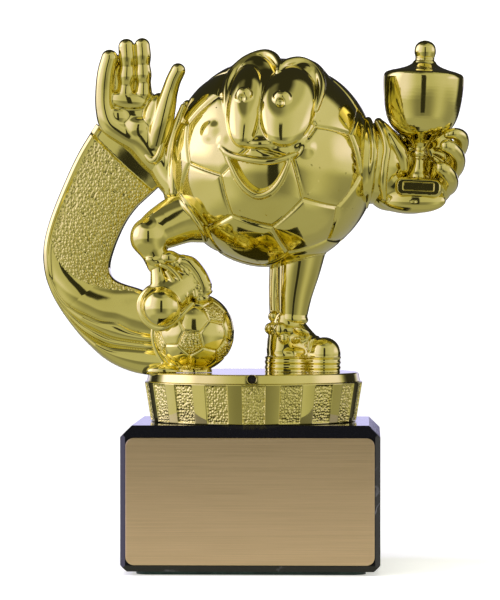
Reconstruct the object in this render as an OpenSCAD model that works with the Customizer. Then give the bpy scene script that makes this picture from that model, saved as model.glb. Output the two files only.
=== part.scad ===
// Football mascot figure trophy: a metallised plastic figure on a fluted riser, bolted to a marble
// block with an engraving plate. Millimetres, +Z up, front towards -Y. The origin is the centre of
// the face that the trophy rests on, on the axis of the fixing screw.

/* [Marble block] */
// Width of the block
block_w = 71.2; // [66:0.2:80]
// Depth of the block
block_d = 64; // [62:1:80]
// Height of the block
block_h = 40; // [36:0.5:41]
// Bevel round the top face
block_top_bevel = 3.1; // [2:0.1:4]
// Bevel round the bottom face
block_foot_bevel = 1.8; // [1:0.1:3]
// Bevel of the four upright edges
block_side_bevel = 1.4; // [1:0.2:2.4]
// Thickness of the felt under the block
felt_t = 1; // [0.8:0.1:2]

/* [Engraving plate] */
// Bare margin between the plate and the bevels
plate_margin = 0.2; // [0.2:0.1:1]
// Corner radius of the plate
plate_r = 2; // [1:0.5:3]
// Thickness of the plate
plate_t = 0.8; // [0.5:0.1:1]
// Thickness of the adhesive tape behind the plate
tape_t = 0.25; // [0.1:0.05:0.4]

/* [Riser] */
// Radius of the drum at its foot
drum_foot_r = 28.2; // [27.6:0.1:28.6]
// Radius of the drum at its top
drum_top_r = 30; // [29.6:0.1:30.4]
// Height of the drum
drum_h = 11.3; // [11:0.1:13.5]
// Height of the smooth rim band above the drum
rim_h = 2.6; // [2.5:0.1:3.5]
// Number of grained panels round the drum
panels = 18; // [12:1:20]
// Depth of the panels
panel_depth = 0.6; // [0.4:0.1:0.8]

/* [Figure] */
// Radius of the football body
ball_r = 29.6; // [29:0.1:30]
// Sideways offset of the football body from the screw axis
ball_x = 5.2; // [4.5:0.1:6]
// Height of the football body's centre above the deck
ball_lift = 59; // [58.5:0.1:59.5]
// Wall of the moulded shells
shell_t = 1.8; // [1.4:0.1:2.2]
// Radius of the small football
football_r = 10.9; // [10.5:0.1:11.2]

/* [Hidden] */
$fn = 96;

// Heights of the stack, from the rest face up
block_top = felt_t + block_h;
drum_top = block_top + drum_h;
deck_top = drum_top + rim_h;

// M6 fixing: screw head in a counterbore, nut in a pocket of the drum
counterbore_r = 9;
counterbore_h = 11;
screw_r = 3;
screw_hole_r = 3.3;
washer_t = 1.6;
washer_r = 6;
hex_r = 10 / sqrt(3);
head_h = 4;
nut_h = 5;
screw_len = 40;
seat_z = felt_t + counterbore_h;
drum_floor_t = 2;
drum_wall_t = 2.2;
boss_r = 8;
fit_gap = 0.05;

// Deck: a plate with a rim band, located inside the drum by a short skirt
deck_t = 2.2;
rim_r = 29.2;
skirt_h = 2.5;
skirt_r = drum_top_r - drum_wall_t - 0.8;
rack_hole_r = 1.1;

// Centres of the two balls
ball_c = [ball_x, 0, deck_top + ball_lift];
football_c = [-16.3, -8, deck_top + football_r - 0.2];

// Pins that plug the mouldings together
pin_r = 2.5;
shell_inner_r = ball_r - shell_t;

// Directions, seen from the ball's centre, of the pins on the arms and legs
leg_pin = [6.4, -6, -28];
hip_pin = [-20.2, -8.5, -12];
wave_pin = [-26.7, -6, -4.5];
cup_pin = [23.8, -6, -2];

// Arms and legs as chains of [x, y, height above the deck, radius]
standing_line = [[11.6, -1, 31.5, 7.4], [10, -1, 17, 5.3], [9.8, -1, 11, 4.4]];
bent_line = [[-13.5, -7, 47.5, 6.1], [-29.8, -12, 39.2, 4.9], [-26.4, -11.5, 32.2, 4.2]];
bent_boot_line = [
    [-26.2, -12, 29, 3.9], [-25.3, -16.2, 18.4, 5.4], [-17.5, -11.2, 26.6, 4.2], [-25.8, -12, 27.5, 3.6]
];
wave_line = [[-20.5, -4, 53.5, 6.4], [-30.5, -5, 64, 5.4]];

// Gloves: the palm, then each finger and the thumb
wave_palm = [[-31, -5.5, 64.5, 5.3], [-35.3, -6, 75, 6.2], [-39.5, -5.6, 71, 4.6]];
wave_fingers = [
    [[-40.6, -6, 74, 2.8], [-42.2, -7, 84.5, 2.4], [-38.9, -8, 88.1, 2.2]],
    [[-36.9, -6, 79, 2.7], [-36.3, -7.5, 91.7, 2.3]],
    [[-32.2, -6, 79, 2.6], [-32.1, -7.7, 91.9, 2.2]],
    [[-30.2, -6.8, 72, 3.6], [-24.9, -8.5, 79.5, 2.5], [-22.1, -9, 84.7, 2.2]]
];
cup_palm = [[43.8, 0.5, 54.6, 8.8], [49, 1, 52.6, 7.2], [53, 0.5, 58.5, 5.2], [55.6, 0, 64.8, 3.9]];
cup_thumb = [[41, -3, 61, 4], [38.8, -7, 68, 2.9]];
cup_fingers = [
    [[56, -2, 65, 3], [54.2, -8, 63.4, 2.5]],
    [[55, -3, 59.6, 3], [52.6, -9, 58.4, 2.5]],
    [[52, -4, 54, 3], [49.6, -9.6, 53.4, 2.4]]
];

// Standing boot, seen from above: heel and toe centres, pointing right and forwards
heel_c = [8.6, -0.6];
toe_c = [19.6, -6];
heel_r = 5.8;
toe_r = 5.1;
sole_h = 3.2;

// The held cup: middle of its foot, and its lean to the right
cup_foot = [46.4, -6.5, 49.8];
cup_lean = 2.8;

// Comet tail: control points of a cubic curve in the XZ plane, heights above the deck
tail_path = [[-36.4, 60], [-53.8, 38], [-59.2, 11.3], [-28, 11.3]];
tail_half_w = 11.8;
tail_waist = 7;
tail_steps = 24;
tail_front = -3.5;
tail_t = 10;
tail_foot = [-22.5, 4.5];

// Colour of the metallised plastic
gold = "gold";

function bezier(c, t) =
    pow(1 - t, 3) * c[0] + 3 * t * pow(1 - t, 2) * c[1] + 3 * t * t * (1 - t) * c[2] + pow(t, 3) * c[3];
function bezier_slope(c, t) =
    3 * pow(1 - t, 2) * (c[1] - c[0]) + 6 * t * (1 - t) * (c[2] - c[1]) + 3 * t * t * (c[3] - c[2]);
function tail_edge(t, side) =
    let (slope = bezier_slope(tail_path, t), half = tail_half_w - tail_waist * t * (1 - t))
    bezier(tail_path, t) + side * half * [-slope[1], slope[0]] / norm(slope);

// A point on the front of the ball, for a chain that lies on it
function on_ball(x, z, r) = [x, -sqrt(pow(ball_r, 2) - x * x - z * z), z, r];

// A bar through a list of points [x, y, z, radius]: a ball at each point and a cone between each
// pair. The cones are a little slimmer than the balls, so that no two surfaces touch edge to edge.
module chain(points, gap = 0) {
    slim = 0.25;
    for (p = points)
        translate([p[0], p[1], p[2]]) sphere(p[3] + gap);
    for (i = [0 : len(points) - 2])
        let (a = points[i], b = points[i + 1], run = b - a, flat = norm([run[0], run[1]]))
        translate([a[0], a[1], a[2]])
            rotate([0, atan2(flat, run[2]), atan2(run[1], run[0])])
                cylinder(
                    r1 = a[3] - slim + gap,
                    r2 = b[3] - slim + gap,
                    h = norm([flat, run[2]])
                );
}

module above_deck() {
    translate([0, 0, deck_top]) children();
}

// A pin through the ball's wall, along the line from its centre
module ball_pin(direction, r) {
    flat = norm([direction[0], direction[1]]);
    translate(ball_c)
        rotate([0, atan2(flat, direction[2]), atan2(direction[1], direction[0])])
            translate([0, 0, shell_inner_r - 2])
                cylinder(r = r, h = shell_t + 5);
}

module ball_space(gap) {
    translate(ball_c) sphere(ball_r + gap);
}

// A round roll of cloth or leather about an upright axis
module roll(at, ring_r, roll_r) {
    translate(at) rotate_extrude() translate([ring_r, 0]) circle(roll_r);
}

// A rectangle with round corners, centred
module round_rect(w, h, r) {
    square([w - 2 * r, h], center = true);
    square([w, h - 2 * r], center = true);
    for (x = [-1, 1], y = [-1, 1])
        translate([x * (w / 2 - r), y * (h / 2 - r)]) circle(r);
}

// A rectangle standing on y = 0 with separate bevels at its top and foot
module bevelled_profile(w, h, top, foot) {
    polygon([
        [-w / 2 + foot, 0], [w / 2 - foot, 0], [w / 2, foot], [w / 2, h - top],
        [w / 2 - top, h], [-w / 2 + top, h], [-w / 2, h - top], [-w / 2, foot]
    ]);
}

module hex_prism(r, h) {
    cylinder(r = r, h = h, $fn = 6);
}

// Stuck on last, so that it covers the screw
module felt_pad() {
    color("dimgray")
        linear_extrude(felt_t) round_rect(block_w - 8, block_d - 8, 4);
}

module marble_block() {
    color("black")
        difference() {
            translate([0, 0, felt_t])
                intersection() {
                    linear_extrude(block_h)
                        translate([0, -block_d / 2])
                            bevelled_profile(block_w, block_d, block_side_bevel, block_side_bevel);
                    translate([0, block_d / 2, 0])
                        rotate([90, 0, 0])
                            linear_extrude(block_d)
                                bevelled_profile(block_w, block_h, block_top_bevel, block_foot_bevel);
                    translate([-block_w / 2, 0, 0])
                        rotate([90, 0, 90])
                            linear_extrude(block_w)
                                bevelled_profile(block_d, block_h, block_top_bevel, block_foot_bevel);
                }
            translate([0, 0, felt_t - 1]) cylinder(r = counterbore_r, h = counterbore_h + 1);
            cylinder(r = screw_hole_r, h = block_top + 1);
        }
}

// Size and place of the flat part of the block's front face
front_w = block_w - 2 * block_side_bevel;
front_h = block_h - block_top_bevel - block_foot_bevel;
front_mid_z = felt_t + block_foot_bevel + front_h / 2;

module on_front(gap, t, w, h, r) {
    translate([0, -block_d / 2 - gap, front_mid_z])
        rotate([90, 0, 0])
            linear_extrude(t) round_rect(w, h, r);
}

module plate_tape() {
    color("white")
        on_front(0, tape_t, front_w - 4, front_h - 4, plate_r);
}

module engraving_plate() {
    color("darkkhaki")
        on_front(tape_t, plate_t, front_w - 2 * plate_margin, front_h - 2 * plate_margin, plate_r);
}

module fixing_screw() {
    color("silver") {
        translate([0, 0, seat_z - washer_t - head_h]) hex_prism(hex_r, head_h);
        translate([0, 0, seat_z - washer_t]) cylinder(r = screw_r, h = screw_len);
    }
}

module washer() {
    color("silver")
        translate([0, 0, seat_z - washer_t])
            difference() {
                cylinder(r = washer_r, h = washer_t);
                translate([0, 0, -1]) cylinder(r = screw_r + 0.2, h = washer_t + 2);
            }
}

module captive_nut() {
    color("silver")
        translate([0, 0, block_top + drum_floor_t])
            difference() {
                hex_prism(hex_r, nut_h);
                translate([0, 0, -1]) cylinder(r = screw_r + fit_gap, h = nut_h + 2);
            }
}

module riser_drum() {
    taper = atan((drum_top_r - drum_foot_r) / drum_h);
    mid_r = (drum_top_r + drum_foot_r) / 2;
    panel_w = 2 * mid_r * sin(0.3 * 360 / panels);
    panel_h = drum_h - 1.6;
    color(gold)
        translate([0, 0, block_top])
            difference() {
                cylinder(r1 = drum_foot_r, r2 = drum_top_r, h = drum_h);
                difference() {
                    translate([0, 0, drum_floor_t])
                        cylinder(
                            r1 = drum_foot_r - drum_wall_t,
                            r2 = drum_top_r - drum_wall_t,
                            h = drum_h
                        );
                    cylinder(r = boss_r, h = drum_floor_t + nut_h + 0.5);
                }
                translate([0, 0, drum_floor_t]) hex_prism(hex_r + fit_gap, drum_h);
                translate([0, 0, -1]) cylinder(r = screw_hole_r, h = drum_h);
                for (i = [0 : panels - 1])
                    rotate([0, 0, 270 + i * 360 / panels])
                        translate([mid_r - panel_depth, 0, drum_h / 2])
                            rotate([0, taper, 0])
                                translate([0, -panel_w / 2, -panel_h / 2])
                                    cube([4, panel_w, panel_h]);
            }
}

module riser_deck() {
    under = deck_top - deck_t;
    color(gold)
        difference() {
            rotate_extrude()
                polygon([
                    [0, under], [skirt_r - 1.5, under], [skirt_r - 1.5, drum_top - skirt_h],
                    [skirt_r, drum_top - skirt_h], [skirt_r, drum_top], [rim_r, drum_top],
                    [rim_r - 0.2, deck_top - 0.5], [rim_r - 0.7, deck_top], [0, deck_top]
                ]);
            // Hole left by the pin that held the deck while it was plated
            translate([0, -skirt_r, (drum_top + deck_top) / 2])
                rotate([90, 0, 0])
                    cylinder(r = rack_hole_r, h = 5);
            deck_pins(fit_gap);
        }
}

// The pins under the football, the standing boot and the tail, grown by gap for their holes
module deck_pins(gap) {
    for (p = [[football_c[0], football_c[1]], heel_c, tail_foot])
        translate([p[0], p[1], deck_top - deck_t - 0.5])
            cylinder(r = pin_r + gap, h = deck_t + 1.5);
}

module deck_pin(at) {
    translate([at[0], at[1], deck_top - deck_t])
        cylinder(r = pin_r, h = deck_t + 1.2);
}

module football() {
    color(gold) {
        difference() {
            translate(football_c) sphere(football_r);
            translate(football_c) sphere(football_r - shell_t);
            translate([football_c[0], football_c[1], deck_top - 10]) cylinder(r = football_r, h = 10);
        }
        deck_pin([football_c[0], football_c[1]]);
    }
}

module tail_sweep() {
    outline = concat(
        [for (i = [0 : tail_steps]) tail_edge(i / tail_steps, 1)],
        [for (i = [tail_steps : -1 : 0]) tail_edge(i / tail_steps, -1)]
    );
    color(gold) {
        difference() {
            union() {
                translate([0, tail_front + tail_t, deck_top])
                    rotate([90, 0, 0])
                        linear_extrude(tail_t) polygon(outline);
                translate([tail_foot[0] - 9, tail_foot[1] - 4, deck_top]) cube([13, 6, 9]);
            }
            translate(football_c) sphere(football_r + 0.1);
            ball_space(0.1);
            above_deck() {
                chain(bent_boot_line, 0.2);
                chain(wave_line, 0.2);
                chain(wave_palm, 0.2);
            }
        }
        deck_pin(tail_foot);
    }
}

module boot_outline() {
    run = toe_c - heel_c;
    side = [-run[1], run[0]] / norm(run);
    translate(heel_c) circle(heel_r);
    translate(toe_c) circle(toe_r);
    polygon([
        heel_c + side * heel_r, toe_c + side * toe_r,
        toe_c - side * toe_r, heel_c - side * heel_r
    ]);
}

module standing_boot() {
    upper = [
        [heel_c[0], heel_c[1], sole_h + 4.6, heel_r - 0.4],
        [toe_c[0], toe_c[1], sole_h + 2, toe_r - 0.3]
    ];
    color(gold) {
        difference() {
            union() {
                above_deck() {
                    linear_extrude(sole_h) boot_outline();
                    difference() {
                        chain(upper);
                        translate([-10, -30, -10]) cube([50, 60, 11]);
                    }
                    roll([heel_c[0] + 1, heel_c[1], 11.4], 4.9, 2);
                }
            }
            above_deck() chain(standing_line, fit_gap);
        }
        deck_pin(heel_c);
    }
}

module standing_leg() {
    color(gold) {
        difference() {
            above_deck() {
                chain(standing_line);
                roll([9.8, -1, 15.5], 4.4, 1.6);
            }
            ball_space(0);
        }
        ball_pin(leg_pin, pin_r);
    }
}

module bent_boot() {
    color(gold)
        difference() {
            above_deck() chain(bent_boot_line);
            translate(football_c) sphere(football_r);
            above_deck() chain(bent_line, fit_gap);
        }
}

module bent_leg() {
    color(gold) {
        difference() {
            above_deck() chain(bent_line);
            ball_space(0);
        }
        ball_pin(hip_pin, pin_r);
    }
}

// The hollow ball with holes for the arm and leg pins
module ball_shell() {
    difference() {
        translate(ball_c) sphere(ball_r);
        translate(ball_c) sphere(shell_inner_r);
        ball_pin(leg_pin, pin_r + fit_gap);
        ball_pin(hip_pin, pin_r + fit_gap);
        ball_pin(wave_pin, pin_r + fit_gap);
        ball_pin(cup_pin, pin_r + fit_gap);
    }
}

module ball_back_shell() {
    color(gold) {
        difference() {
            translate(ball_c) sphere(ball_r);
            translate(ball_c) sphere(shell_inner_r);
            translate(ball_c + [-50, -100, -50]) cube([100, 100, 100]);
        }
        // Locating lip that sits inside the front shell
        translate(ball_c)
            rotate([90, 0, 0])
                translate([0, 0, -6])
                    difference() {
                        cylinder(r = shell_inner_r - 0.15, h = 7.2);
                        translate([0, 0, -1]) cylinder(r = shell_inner_r - 1.4, h = 10);
                    }
    }
}

// Raised features of the face: eyes with pupils, a nose and lips round a smile
module face_relief() {
    chain([[-8.4, -24, 9.7, 4.7], [-8, -11, 24.9, 4.7]]);
    chain([[1.5, -24.5, 10, 5], [7.2, -11.5, 24, 5]]);
    translate([-8.6, -22.6, 18.4]) sphere(2.2);
    translate([2.8, -23.4, 17.2]) sphere(2.5);
    translate([-3.2, -28.2, 6.4]) sphere(2.4);
    chain([on_ball(-12.8, 4.6, 1.2), on_ball(-3.4, 1.4, 1.3), on_ball(7, 2.8, 1.2)]);
    chain([
        on_ball(-12.4, 1.2, 1), on_ball(-8.6, -6.9, 1.1), on_ball(-3, -9.6, 1.2),
        on_ball(2.6, -7, 1.1), on_ball(6.2, -0.4, 1)
    ]);
}

module ball_front_shell() {
    color(gold)
        difference() {
            union() {
                ball_shell();
                difference() {
                    translate(ball_c) face_relief();
                    translate(ball_c) sphere(shell_inner_r + 0.3);
                }
            }
            translate(ball_c + [-50, 0, -50]) cube([100, 100, 100]);
        }
}

module waving_arm() {
    color(gold) {
        difference() {
            above_deck() chain(wave_line);
            ball_space(0);
            above_deck() chain(wave_palm);
        }
        ball_pin(wave_pin, pin_r);
    }
}

// Open hand with its palm to the front: three fingers and a thumb point up
module waving_glove() {
    color(gold)
        difference() {
            above_deck() {
                chain(wave_palm);
                for (finger = wave_fingers) chain(finger);
            }
            ball_space(0.1);
        }
}

// Wide sleeve between the ball and the glove, with two rolls of a cuff at its end
module cup_arm() {
    palm = cup_palm[0];
    color(gold) {
        difference() {
            above_deck()
                translate([20, -3, 59])
                    rotate([0, 94, 0])
                        rotate_extrude() {
                            polygon([[0, 0], [11.2, 0], [11.2, 17], [0, 17]]);
                            translate([9.6, 13.4]) circle(2.4);
                            translate([9.2, 17]) circle(2.2);
                        }
            ball_space(0);
            above_deck() translate([palm[0], palm[1], palm[2]]) sphere(palm[3] + fit_gap);
        }
        ball_pin(cup_pin, pin_r);
    }
}

// Closed hand: the palm is behind the stem of the cup and three fingers bend round it
module cup_glove() {
    color(gold)
        difference() {
            above_deck() {
                chain(cup_palm);
                chain(cup_thumb);
                for (finger = cup_fingers) chain(finger);
            }
            cup_body(fit_gap);
        }
}

module cup_body(gap) {
    above_deck()
        translate(cup_foot)
            rotate([0, cup_lean, 0])
                rotate_extrude()
                    polygon([
                        [0, -gap], [6.5 + gap, -gap], [6.5 + gap, 4.6], [5.6, 5.2 + gap],
                        [3.2 + gap, 5.4], [1.8 + gap, 10], [2.2 + gap, 11.4], [1.4 + gap, 12.8],
                        [1.6 + gap, 15.6], [5 + gap, 16.8], [8.4 + gap, 19.4], [10 + gap, 23.4],
                        [11 + gap, 29], [11.3 + gap, 32.4], [10.6, 34.2], [8, 35.4], [4, 37.2],
                        [2.6, 38.6], [2.4, 39.4], [0, 39.4]
                    ]);
}

module held_cup() {
    color(gold) {
        cup_body(0);
        above_deck()
            translate(cup_foot)
                rotate([0, cup_lean, 0])
                    translate([0, 0, 41]) sphere(3.1);
    }
}

felt_pad();
marble_block();
plate_tape();
engraving_plate();
fixing_screw();
washer();
captive_nut();
riser_drum();
riser_deck();
football();
tail_sweep();
standing_boot();
standing_leg();
bent_boot();
bent_leg();
ball_back_shell();
ball_front_shell();
waving_arm();
waving_glove();
cup_arm();
cup_glove();
held_cup();
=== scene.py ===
import math
import bpy
import numpy as np
import openvdb
from mathutils import Euler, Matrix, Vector


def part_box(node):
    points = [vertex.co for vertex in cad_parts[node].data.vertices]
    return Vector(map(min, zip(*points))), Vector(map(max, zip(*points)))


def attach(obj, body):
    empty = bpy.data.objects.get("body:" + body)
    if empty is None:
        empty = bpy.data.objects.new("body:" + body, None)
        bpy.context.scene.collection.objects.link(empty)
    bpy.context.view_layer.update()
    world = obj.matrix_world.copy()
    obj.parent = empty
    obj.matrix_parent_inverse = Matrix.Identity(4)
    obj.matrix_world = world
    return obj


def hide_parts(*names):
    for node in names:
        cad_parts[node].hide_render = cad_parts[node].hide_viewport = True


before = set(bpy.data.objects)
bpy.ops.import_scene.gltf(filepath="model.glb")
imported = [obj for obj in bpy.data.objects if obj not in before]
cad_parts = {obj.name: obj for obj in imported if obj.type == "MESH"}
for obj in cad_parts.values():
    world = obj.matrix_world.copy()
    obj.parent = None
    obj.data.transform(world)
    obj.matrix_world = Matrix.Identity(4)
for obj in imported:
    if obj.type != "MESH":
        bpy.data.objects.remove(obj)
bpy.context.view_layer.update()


# Studio: a pale sweep of card that curves up far behind the trophy, in a tent of white panels with
# a soft box above and dark curtains behind, which chrome needs for its black edges.
sweep_far = 3.4
sweep_near = 3.4
sweep_half = 3.4
sweep_bend = 0.35
sweep_height = 2.2


def roll_out_card():
    steps = 24
    line = [(-sweep_near, 0.0), (sweep_far - sweep_bend, 0.0)]
    for i in range(1, steps + 1):
        turn = i / steps * math.pi / 2
        line.append((
            sweep_far - sweep_bend + sweep_bend * math.sin(turn),
            sweep_bend - sweep_bend * math.cos(turn),
        ))
    line.append((sweep_far, sweep_height))
    verts = []
    faces = []
    for y, z in line:
        verts.append((-sweep_half, y, z))
        verts.append((sweep_half, y, z))
    for i in range(len(line) - 1):
        faces.append((2 * i, 2 * i + 1, 2 * i + 3, 2 * i + 2))
    mesh = bpy.data.meshes.new("card_sweep")
    mesh.from_pydata(verts, [], faces)
    mesh.shade_smooth()
    card = bpy.data.objects.new("card_sweep", mesh)
    bpy.context.scene.collection.objects.link(card)
    return card


def card_paper():
    paper = bpy.data.materials.new("card_paper")
    paper.use_nodes = True
    nodes = paper.node_tree.nodes
    links = paper.node_tree.links
    shader = nodes["Principled BSDF"]
    shader.inputs["Roughness"].default_value = 0.85
    fibre = nodes.new("ShaderNodeTexNoise")
    fibre.inputs["Scale"].default_value = 60.0
    fibre.inputs["Detail"].default_value = 4.0
    tint = nodes.new("ShaderNodeValToRGB")
    tint.color_ramp.elements[0].color = (0.91, 0.91, 0.80, 1)
    tint.color_ramp.elements[1].color = (0.94, 0.94, 0.83, 1)
    links.new(fibre.outputs["Fac"], tint.inputs["Fac"])
    links.new(tint.outputs["Color"], shader.inputs["Base Color"])
    links.new(tint.outputs["Color"], shader.inputs["Emission Color"])
    shader.inputs["Emission Strength"].default_value = 0.55
    return paper


card = roll_out_card()
card.data.materials.append(card_paper())
card.visible_glossy = False


def hang_lights():
    """The studio is a tent: what each direction shows is set here, angles in degrees."""
    world = bpy.data.worlds.new("studio")
    world.use_nodes = True
    bpy.context.scene.world = world
    nodes = world.node_tree.nodes
    links = world.node_tree.links
    backdrop = nodes["Background"]
    way = nodes.new("ShaderNodeTexCoord").outputs["Generated"]
    split = nodes.new("ShaderNodeSeparateXYZ")
    links.new(way, split.inputs["Vector"])

    def sum_of(kind, a, b=0.0):
        node = nodes.new("ShaderNodeMath")
        node.operation = kind
        for socket, value in zip(node.inputs, (a, b)):
            if isinstance(value, float):
                socket.default_value = value
            else:
                links.new(value, socket)
        return node.outputs["Value"]

    def fade(value, low, high, at_low=0.0, at_high=1.0):
        node = nodes.new("ShaderNodeMapRange")
        node.interpolation_type = "SMOOTHSTEP"
        for socket, number in zip(("From Min", "From Max", "To Min", "To Max"), (low, high, at_low, at_high)):
            node.inputs[socket].default_value = number
        links.new(value, node.inputs["Value"])
        return node.outputs["Result"]

    def mix(share, a, b):
        node = nodes.new("ShaderNodeMix")
        node.data_type = "FLOAT"
        links.new(share, node.inputs["Factor"])
        for socket, value in (("A", a), ("B", b)):
            if isinstance(value, float):
                node.inputs[socket].default_value = value
            else:
                links.new(value, node.inputs[socket])
        return node.outputs["Result"]

    def glow(towards, spread, power):
        node = nodes.new("ShaderNodeVectorMath")
        node.operation = "DOT_PRODUCT"
        node.inputs[1].default_value = Vector(towards).normalized()
        links.new(way, node.inputs[0])
        return fade(node.outputs["Value"], math.cos(math.radians(spread)), 1.0, 0.0, power)

    degrees = 180 / math.pi
    behind = sum_of("MULTIPLY", split.outputs["Y"], -1.0)
    turn = sum_of("MULTIPLY", sum_of("ARCTAN2", split.outputs["X"], behind), degrees)
    rise = sum_of("MULTIPLY", sum_of("ARCSINE", split.outputs["Z"]), degrees)
    aside = sum_of("ABSOLUTE", turn)
    # Two tall front panels, brighter to the sides, with the floor and a dim ceiling round them
    front = fade(aside, 10.0, 60.0, 0.54, 0.66)
    front = sum_of("ADD", front, fade(turn, -58.0, -12.0, 0.34, 0.0))
    low_front = fade(aside, 14.0, 60.0, 0.23, 0.62)
    low_front = sum_of("MULTIPLY", low_front, fade(turn, 40.0, 95.0, 1.0, 0.48))
    tent = mix(fade(rise, -14.0, -3.0), low_front, front)
    tent = mix(fade(rise, -46.0, -30.0), 0.40, tent)
    tent = mix(fade(rise, 47.0, 58.0), tent, fade(turn, -12.0, 30.0, 0.16, 0.46))
    tent = mix(fade(rise, 68.0, 80.0), tent, 0.03)
    # The dark gap between the panels, where the lens looks through
    gap = sum_of("MULTIPLY", fade(aside, 5.6, 8.2, 1.0, 0.0), fade(rise, -34.0, -27.0))
    gap = sum_of("MULTIPLY", gap, fade(rise, 36.0, 44.0, 1.0, 0.0))
    tent = mix(gap, tent, 0.03)
    # A black curtain behind, above a pale table
    curtain = fade(rise, -14.0, -7.0, 0.34, 0.03)
    tent = mix(fade(aside, 108.0, 122.0), tent, curtain)
    # Round lamps at the sides: a strong one on the left and a soft one on the right
    lamps = sum_of("ADD", glow((-0.96, 0.12, 0.26), 34.0, 0.95), glow((0.97, 0.10, 0.12), 30.0, 0.36))
    lamps = sum_of("MULTIPLY", lamps, fade(rise, -3.0, 10.0, 0.12, 1.0))
    tent = sum_of("ADD", tent, lamps)
    # A strip of white card shows just above the table, behind the trophy
    strip = sum_of("MULTIPLY", fade(split.outputs["Y"], 0.80, 0.92), fade(rise, 7.0, 10.0, 0.72, 0.0))
    strip = sum_of("MULTIPLY", strip, sum_of("GREATER_THAN", rise, 0.0))
    tent = sum_of("ADD", tent, strip)
    rays = nodes.new("ShaderNodeLightPath")
    links.new(mix(rays.outputs["Is Camera Ray"], tent, 1.0), backdrop.inputs["Strength"])
    # The bright parts are cool daylight, the dim parts neutral
    tint = nodes.new("ShaderNodeCombineColor")
    tint.inputs["Red"].default_value = 1.0
    links.new(fade(tent, 0.46, 1.05, 0.99, 0.93), tint.inputs["Green"])
    links.new(fade(tent, 0.46, 1.05, 1.0, 2.0), tint.inputs["Blue"])
    links.new(tint.outputs["Color"], backdrop.inputs["Color"])


def soft_box(name, place, aim, width, height, watts):
    lamp = bpy.data.lights.new(name, "AREA")
    lamp.shape = "RECTANGLE"
    lamp.size = width
    lamp.size_y = height
    lamp.energy = watts
    box = bpy.data.objects.new(name, lamp)
    box.location = place
    box.rotation_euler = (Vector(aim) - Vector(place)).to_track_quat("-Z", "Y").to_euler()
    box.visible_glossy = False
    bpy.context.scene.collection.objects.link(box)


soft_box("top_soft_box", (-0.2, -0.5, 1.1), (0.0, 0.0, 0.08), 1.2, 0.8, 9.0)
hang_lights()
bpy.context.scene.view_settings.view_transform = "Standard"

# A long lens from far away, level with the figure's legs and a little to its cup side
lens_away = 1.03
lens_height = 0.7
lens_turn = 1.8
film_width = 36.0
view_width = 0.1689
looked_at = Vector((-0.001, 0.0, 0.0750))
camera_data = bpy.data.cameras.new("long_lens")
camera_data.sensor_width = film_width
camera_data.lens = film_width * lens_away / view_width
camera_data.clip_start = 0.05
camera = bpy.data.objects.new("long_lens", camera_data)
camera.location = looked_at + Vector((
    lens_away * math.sin(math.radians(lens_turn)) * math.cos(math.radians(lens_height)),
    -lens_away * math.cos(math.radians(lens_turn)) * math.cos(math.radians(lens_height)),
    lens_away * math.sin(math.radians(lens_height)),
))
camera.rotation_euler = (looked_at - camera.location).to_track_quat("-Z", "Y").to_euler()
bpy.context.scene.collection.objects.link(camera)
bpy.context.scene.camera = camera


# Felt pad: a 1 mm sheet of green-black wool felt, self-adhesive, stuck under the block over the
# screw. Pressed fibres lie in every direction and the cut edge is a little fuzzy.
def fresh_material(name):
    made = bpy.data.materials.new(name)
    made.use_nodes = True
    return made, made.node_tree.nodes, made.node_tree.links, made.node_tree.nodes["Principled BSDF"]


def dress_node(node, material):
    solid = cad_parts[node]
    solid.data.materials.clear()
    solid.data.materials.append(material)


def own_place(nodes):
    return nodes.new("ShaderNodeTexCoord").outputs["Object"]


def speckle(nodes, links, place, scale, detail, rough=0.5):
    noise = nodes.new("ShaderNodeTexNoise")
    noise.inputs["Scale"].default_value = scale
    noise.inputs["Detail"].default_value = detail
    noise.inputs["Roughness"].default_value = rough
    links.new(place, noise.inputs["Vector"])
    return noise.outputs["Fac"]


def two_tone(nodes, links, fac, dark, light, low=0.35, high=0.65):
    ramp = nodes.new("ShaderNodeValToRGB")
    ramp.color_ramp.elements[0].position = low
    ramp.color_ramp.elements[0].color = (*dark, 1)
    ramp.color_ramp.elements[1].position = high
    ramp.color_ramp.elements[1].color = (*light, 1)
    links.new(fac, ramp.inputs["Fac"])
    return ramp.outputs["Color"]


def relief(nodes, links, fac, depth, strength=1.0, under=None):
    bump = nodes.new("ShaderNodeBump")
    bump.inputs["Strength"].default_value = strength
    bump.inputs["Distance"].default_value = depth
    links.new(fac, bump.inputs["Height"])
    if under is not None:
        links.new(under, bump.inputs["Normal"])
    return bump.outputs["Normal"]


def pressed_felt():
    felt, nodes, links, shader = fresh_material("pressed_felt")
    place = own_place(nodes)
    fibres = speckle(nodes, links, place, 2600.0, 6.0, 0.7)
    clumps = speckle(nodes, links, place, 240.0, 3.0)
    links.new(two_tone(nodes, links, clumps, (0.012, 0.030, 0.020), (0.028, 0.062, 0.042)),
              shader.inputs["Base Color"])
    shader.inputs["Roughness"].default_value = 0.95
    shader.inputs["Sheen Weight"].default_value = 0.4
    shader.inputs["Sheen Roughness"].default_value = 0.5
    links.new(relief(nodes, links, fibres, 0.0002), shader.inputs["Normal"])
    return felt


dress_node("felt_pad", pressed_felt())


# Marble block: sawn black marble with ground bevels, polished to a mirror, drilled for the screw.
# A few thin grey veins run through it in patches, under a coat of wax.
def span(nodes, links, fac, low, high):
    stretch = nodes.new("ShaderNodeMapRange")
    stretch.inputs["From Min"].default_value = 0.3
    stretch.inputs["From Max"].default_value = 0.7
    stretch.inputs["To Min"].default_value = low
    stretch.inputs["To Max"].default_value = high
    links.new(fac, stretch.inputs["Value"])
    return stretch.outputs["Result"]


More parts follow.
